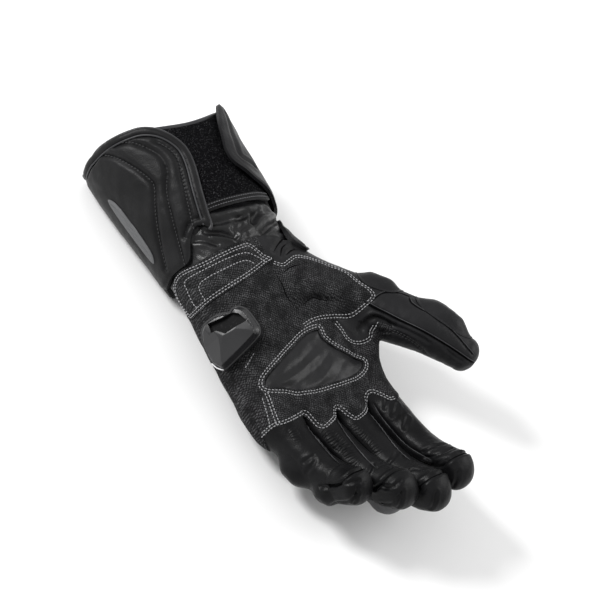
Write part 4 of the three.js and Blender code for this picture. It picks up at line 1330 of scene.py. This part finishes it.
def gathers(p, line, wide=2.4, pitch=2.4, deep=0.2, step=0.5):
    """Small pulls across a seam whose points are a step apart."""
    low, high = line.min(0) - 8, line.max(0) + 8
    near = np.nonzero(((p > low) & (p < high)).all(1))[0]
    rise = np.zeros(len(p))
    gap = np.linalg.norm(p[near][:, None] - line[None], axis=2)
    at = gap.argmin(1)
    away, run, length = gap[np.arange(len(near)), at], at * step, len(line) * step
    ends = smooth_step(run / 4) * smooth_step((length - run) / 7)
    taper = wide * (1 - 0.35 * run / length)
    rise[near] = deep * (0.4 + np.sin(run * 2 * np.pi / pitch)) * bell(away / taper) ** 1.5 * ends
    return rise


def flap_relief(marks, flat, edge, place):
    """Padded quilting with its seams, and a rolled free edge with a bed for the cord."""
    at = level(flat)
    free = smooth_step((marks[:, 0] + marks[:, 1] * 0.2 - 4) / 8) * smooth_step((-8 - marks[:, 1]) / 5)
    free = np.maximum(free, smooth_step((-82 - marks[:, 1]) / 3))
    roll = np.sqrt(np.clip(1 - ((edge - 1.9) / 2.1) ** 2, 0, 1)) * 1.1
    bed = 0.5 * bell((edge - CORD_INSET) / 1.0)
    puff = 1 - bell(np.maximum(edge - CORD_INSET * free, 0) / 1.8)
    for line, gathered in zip(FLAP_SEAMS, (None, slice(10, 50), slice(8, None))):
        line = level(dense(flat_heel(line), 0.5))
        away = distance_to(at, line, 9)
        puff = puff * (1 - bell(away / 1.9)) - 0.25 * bell(away / 0.6)
        if gathered:
            puff += gathers(at, line[gathered])
    inside = smooth_step((edge - CORD_INSET * free) / 0.8)
    return 1.7 * puff * inside + 0.1 * ripple(place, 9, 41) + free * (roll - bed)


def flap_lift(marks):
    return 2.9 + 1.7 * smooth_step((marks[:, 0] - 42) / 20)


def make_outer_flap():
    """The padded flap, the bead under its free edge, the cord on it and its inlay."""
    flap = cuff_piece("outer_flap", OUTER_FLAP, flap_lift, flap_relief, 2.4, FLAP_LEATHER)
    marks = dense(flat_heel(OUTER_FLAP[FREE_EDGE]), 0.7) / [ARC, 1]
    bead = tube(round_cuff(marks, flap_lift(marks) - 1.0), 1.3, 12)
    piece("flap_piping", bead, EDGE, ["flap_piping"])
    marks = inset(flat_heel(OUTER_FLAP[: FREE_EDGE.stop]), CORD_INSET, False)[12:-3] / [ARC, 1]
    piece("flap_cord", tube(round_cuff(marks, flap_lift(marks) + 0.35), 0.62, 10), EDGE)
    sheet, _, _, edge = cuff_sheet(INLAY, 3.6, 0.5)
    groove = 0.7 * bell((edge - 3.2) / 0.7)
    sheet = sheet.raised(1.0 + round_edge(np.maximum(edge, 0), 0.9, 1.6) - groove)
    inlay = closed_wall(sheet, np.full(len(edge), -0.6), edge)
    piece("flap_inlay", inlay, RUBBER, ["flap_inlay"])


CLOSING_FLAP = [(126, -85), (115, -74), (107, -60), (102, -49), (102, -42), (111, -34), (124, -26),
                (140, -20), (150, -16), (167, -13.8), (180, -13.4), (206, -13.6), (231, -18),
                (231, -92.5), (206, -91), (180, -90), (167, -89.8), (154, -89), (148, -88.4),
                (136, -86.8)]


# How far the closing flap stands off what it covers: angle round the glove, lift
CLOSING_LIFT = np.array([
    (102, 6), (108, 5.2), (115.7, 4.4), (126, 3.4), (136.3, 2.7), (147.9, 2.2), (154.3, 1.8), (167, 0.9),
    (180, 0.5), (231, 0.5),
])


def closing_lift(marks):
    return 2.2 + np.interp(marks[:, 0], *CLOSING_LIFT.T)


def closing_relief(marks, flat, edge, place):
    rise = folds(flat, [([(131, -80), (123, -67), (116, -55), (113, -45), (126, -39)], -0.9, 1.4),
                        ([(150, -76), (158, -60), (155, -44)], -0.5, 2.2)])
    return rise + 0.3 * ripple(place, 20, 51) - 0.5 * bell(np.maximum(edge, 0) / 0.9)


LOOP_PANEL = [(55, -72), (57, -78.6), (64, -77), (77, -75), (90, -74.3), (103, -75), (122, -78.4), (130, -80),
              (130, -21.5), (100, -21.5), (70, -22), (56, -22)]
LOOP_HEM = [(56, -23.5), (70, -23.5), (100, -23), (130, -23), (131, -18), (100, -17.8), (70, -18.2),
            (55, -18.6)]


def loop_relief(marks, flat, edge, place):
    return 0.2 * ripple(place, 1.9, 61, 30) + 0.12 * ripple(place, 4, 62)


WRIST_STRAP = [(129, 9), (133, 2), (144, -6), (158, -10), (180, -11), (219, -11), (228, -10), (228, 9),
               (219, 10), (180, 11), (158, 14), (144, 19), (134, 20), (129, 15)]


def hem_relief(marks, flat, edge, place):
    return 0.4 * round_edge(np.maximum(edge, 0), 1.0, 1.0) + 0.06 * ripple(place, 4, 63)


def strap_relief(marks, flat, edge, place):
    hem = -0.5 * bell((edge - 2.6) / 0.7) - 0.5 * bell(np.maximum(edge, 0) / 0.8)
    over = np.maximum(3.2 - hand_field(place), 0) * smooth_step((marks[:, 1] + 2) / 4)
    return hem + 0.2 * ripple(place, 12, 71) + over


make_cuff()
make_outer_flap()
cuff_piece("closing_flap", CLOSING_FLAP, closing_lift, closing_relief, 2.2, SMOOTH)
tape = cuff_piece("loop_panel", LOOP_PANEL, 1.7, loop_relief, 1.2, LOOPS)
hem = cuff_piece("loop_hem", LOOP_HEM, 2.2, hem_relief, 1.4, FINGER_LEATHER)
cuff_piece("wrist_strap", WRIST_STRAP, 2.7, strap_relief, 2.2, SMOOTH)


# The slider on the little finger's side of the palm

SLIDER_AT = np.array([39.5, 53.5, 42.5])
SLIDER_OUT = unit(np.array([0.74, 0.08, 0.67]))
SLIDER_ACROSS = unit(np.cross([0, 1.0, 0], SLIDER_OUT))
SLIDER_ALONG = np.cross(SLIDER_OUT, SLIDER_ACROSS)
# Outlines on the slider, as (across, along) from its middle
SLIDER = [(13, -8.6), (11, -11), (8, -12.8), (4, -13.4), (-0.8, -13), (-4.6, -11.8), (-8.5, -10.1),
          (-11, -11), (-14.5, -10.2), (-17.2, -6.8), (-18, -4), (-18.6, 1), (-18.6, 7), (-17, 10.4),
          (-14.5, 11.7), (-7.3, 13.5), (3.4, 15.5), (12.8, 16.8), (15.2, 14.1), (16.8, 10.1),
          (16.4, 3.1), (15.4, -2.7)]
SLIDER_PLATE = [(16.2, 10.1), (13.6, 15.6), (10.9, 16.5), (-15, 10.6), (-16.6, 8), (-15.6, -0.4),
                (-1.1, -0.8), (2.5, -5.4), (6.4, -6.2), (8.9, -3.8), (10.8, 0), (15.2, 6.2)]
SLIDER_WINDOW = [(6.1, -11.1), (-2.3, -9.5), (-9.5, -8.8), (-13.2, -5.8), (-15.2, 1.1), (-6.3, 0.6),
                 (-0.1, 0.7), (3.5, -4), (7, -4.8), (6.3, -9.4)]


def on_slider(flat):
    return SLIDER_AT + flat[:, :1] * SLIDER_ACROSS + flat[:, 1:] * SLIDER_ALONG


def slider_grid(step):
    """Flat places over the slider on a grid of that step, and the same as a sheet."""
    u, v = np.meshgrid(np.arange(-20.5, 19, step), np.arange(-15.5, 19, step))
    flat = np.column_stack([u.ravel(), v.ravel()])
    out = np.tile(SLIDER_OUT, (len(flat), 1))
    return flat, Sheet(on_slider(flat), out, grid_faces(*u.shape))


def make_slider():
    """A faceted shell round a sunken window, on a foot that reaches into the leather, with a pale lip painted
    as a highlight.
    """
    sharp = 24  # degrees from which its edges stay sharp
    flat, plane = slider_grid(0.3)
    edge = inside_distance(flat, dense(SLIDER, 0.6, True)[:-1])
    window, plate = (inside_distance(flat, np.array(marks, float)) for marks in (SLIDER_WINDOW, SLIDER_PLATE))
    steep_rim, top = 0.8 + 1.9 * edge, 4.3 + 0.12 * edge
    height = np.minimum(steep_rim, top) + 1.2 * np.clip(plate / 0.7, 0, 1)
    end_facet = 5.5 - 0.45 * (flat[:, 0] - 7.5 - 0.35 * flat[:, 1].clip(0, 12))
    cap = plane.raised(np.minimum(height, end_facet)).cut(np.minimum(edge, -window))
    piece("slider_shell", cap.walled(0, 0.2), SHELL, ["slider_shell"], sharp)
    flat, plane = slider_grid(0.8)
    window = inside_distance(flat, np.array(SLIDER_WINDOW, float))
    deep = plane.raised(1.5 + 0.08 * flat[:, 1]).cut(window + 0.4)
    piece("slider_window", deep.walled(0, 0.3), RECESS)
    foot = plane.raised(0.6).cut(inside_distance(flat, inset(SLIDER, -0.8)))
    piece("slider_foot", foot.walled(0, -6.5), SHELL, ["slider_foot"], sharp)
    # A thin pale tube along the plate's edge, coloured as a painted highlight.
    lip = on_slider(dense([(17.2, 10), (15.9, 14), (13.4, 17)], 0.4)) + 1.1 * SLIDER_OUT
    piece("slider_lip", tube(lip, 0.4), SLIDER_HIGHLIGHT)


make_slider()


# Stitches

def sewn_hand(lines, lift):
    """Rows on the hand, raised onto its relief and that much more, with their outward directions."""
    return [on_hand(evenly(line, 0.5), lift) for line in lines]


def sewn_cuff(lines, lift):
    """The same on the cuff from lines of (angle, y), that far off its skin."""
    rows = []
    for line in lines:
        marks = dense(flat_heel(line), 0.5) / [ARC, 1]
        line = round_cuff(marks, lift)
        rows.append((line, unit(round_cuff(marks, lift + 1) - line)))
    return rows


# A stitch's thickness along it, as (share of its length from its middle, share of its thickness)
STITCH = np.array([(-0.5, 0.15), (-0.44, 0.7), (-0.3, 1), (0, 1), (0.3, 1), (0.44, 0.7), (0.5, 0.15)])
STITCH_SIDES = 6
UNEVEN = 0.06  # share by which stitches turn and change in length


def stitches(name, rows, finish, pitch=2.25, long=1.6, radius=0.28):
    """Short raised threads along rows, each dipping into the leather at its ends."""
    middles, ways, outs = [], [], []
    for line, out in rows:
        both = evenly(np.column_stack([line, out]), pitch)
        middles.append(both[1:, :3])
        outs.append(unit(both[1:, 3:]))
        ways.append(unit(np.gradient(both[:, :3], axis=0))[1:])
    middles, ways, out = (np.concatenate(part) for part in (middles, ways, outs))
    ways = unit(ways - out * (ways * out).sum(1)[:, None])
    turn = rng.normal(0, UNEVEN, len(middles))[:, None]
    side = np.cross(out, ways)
    ways, side = ways * np.cos(turn) + side * np.sin(turn), side * np.cos(turn) - ways * np.sin(turn)
    long = long * (1 + rng.normal(0, UNEVEN, len(middles)))
    at, thin = STITCH.T
    dip = -1.1 * np.abs(at * 2) ** 3
    ring = np.arange(STITCH_SIDES) / STITCH_SIDES * 2 * np.pi
    along = ways[:, None, None] * (at[None, :] * long[:, None])[:, :, None, None]
    wide = side[:, None, None] * (np.cos(ring) * thin[:, None] * radius)[None, :, :, None]
    high = out[:, None, None] * (radius * (np.sin(ring) * thin[:, None] + dip[:, None]))[None, :, :, None]
    points = middles[:, None, None] + along + wide + high
    count = len(at) * STITCH_SIDES
    last = count - STITCH_SIDES
    first_end, last_end = ([[0, k + 1, k] for k in range(1, STITCH_SIDES - 1)],
                           [[last, last + k, last + k + 1] for k in range(1, STITCH_SIDES - 1)])
    faces = np.concatenate([grid_faces(len(at), STITCH_SIDES, True), first_end, last_end])
    every = (faces[None] + (np.arange(len(middles)) * count)[:, None, None]).reshape(-1, 3)
    piece(name, (points.reshape(-1, 3), every), finish)


def make_stitches():
    """Every row of stitches, each kind as one piece."""
    stitches("heel_stitches", sewn_hand(ROWS["heel"], 1.98), PALE_THREAD)
    stitches("palm_stitches", sewn_hand(ROWS["palm"], 0.86), PALE_THREAD)
    stitches("thumb_stitches", sewn_hand(ROWS["thumb"], 0.25), DARK_THREAD)
    rows = sewn_cuff(FLAP_SEAMS[:2], 3.2) + sewn_cuff(FLAP_SEAMS[2:], 4.9)
    hem = [[(57, y), (75, y + 0.1), (100, y + 0.4), (129, y + 0.4)] for y in (-22.2, -20)]
    stitches("cuff_stitches", rows, DARK_THREAD, radius=0.32)
    stitches("hem_stitches", sewn_cuff(hem, 2.8), GREY_THREAD, 1.9, 1.5, 0.34)


def make_seam_edges():
    """Raw leather edges in the fingers' seams, uneven and thinner towards their ends; their pale colour is
    partly their own and partly painted highlight.
    """
    for name, lines in FINGER_SEAMS.items():
        parts = []
        for line in lines:
            place, out = settled(line, finger_field(name), 1)
            run = np.arange(len(place))
            lift = 0.12 * np.sin(run * 0.9) - 0.05
            ends = smooth_step(np.minimum(run, run[::-1]) / 14 + 0.2)
            radius = 0.3 * (0.75 + 0.25 * np.sin(run * 0.23 + 1)) * ends
            parts.append(tube(place + out * lift[:, None], radius, 8))
        piece(f"{name}_seam_edges", merged(parts), RAW_EDGE_AND_HIGHLIGHT)


make_stitches()
make_seam_edges()


# The floor, the light and the camera

GLOVE_MIDDLE = Vector((0, 0, 0.03))


def lamp(name, place, wide, power):
    """A round lamp that points at the glove."""
    data = bpy.data.lights.new(name, "AREA")
    data.shape = "DISK"
    data.size, data.energy = wide, power
    place = Vector(place)
    turn = (place - GLOVE_MIDDLE).to_track_quat("Z", "Y").to_matrix().to_4x4()
    linked(name, data).matrix_world = Matrix.Translation(place) @ turn


def make_studio():
    half, under = 4, -0.0003
    f = Finish("floor_white")
    finish = f.surface(Base_Color=f.mix(f.noise(3), (0.8, 0.8, 0.8), (0.83, 0.83, 0.83)), Roughness=0.9)
    mesh = bpy.data.meshes.new("floor")
    corners = [(-half, -half, under), (half, -half, under), (half, half, under), (-half, half, under)]
    mesh.from_pydata(corners, [], [(0, 1, 2, 3)])
    mesh.materials.append(finish)
    linked("floor", mesh)
    world = bpy.data.worlds.new("studio")
    world.use_nodes = True
    sky = world.node_tree.nodes["Background"]
    sky.inputs["Color"].default_value = (1, 1, 1, 1)
    sky.inputs["Strength"].default_value = 0.8
    bpy.context.scene.world = world
    bpy.context.scene.view_settings.view_transform = "Standard"
    lamp("key", (0.85, -0.7, 0.9), 0.4, 20)
    lamp("fill", (-0.9, 0.4, 0.9), 0.8, 6)


def make_camera():
    """The camera at the photo's angle and distance, with the glove off its middle as there."""
    right, up = unit(np.array([-0.749, 0.504, 0.430])), np.array([-0.225, -0.804, 0.551])
    up = unit(up - right * (up @ right))
    back = np.cross(right, up)
    away, to_right, down = 1600, 47.53, 29.63
    eye = np.array([0, 0, 34.0]) + back * away + right * to_right - up * down
    data = bpy.data.cameras.new("camera")
    data.lens, data.sensor_width, data.sensor_fit = 152.97, 36, "HORIZONTAL"
    data.clip_start, data.clip_end = 0.05, 20
    matrix = np.eye(4)
    matrix[:3, :3] = np.column_stack([right, up, back])
    matrix[:3, 3] = (eye - ORIGIN) * MM
    camera = linked("camera", data)
    camera.matrix_world = Matrix(matrix.tolist())
    bpy.context.scene.camera = camera


make_studio()
make_camera()
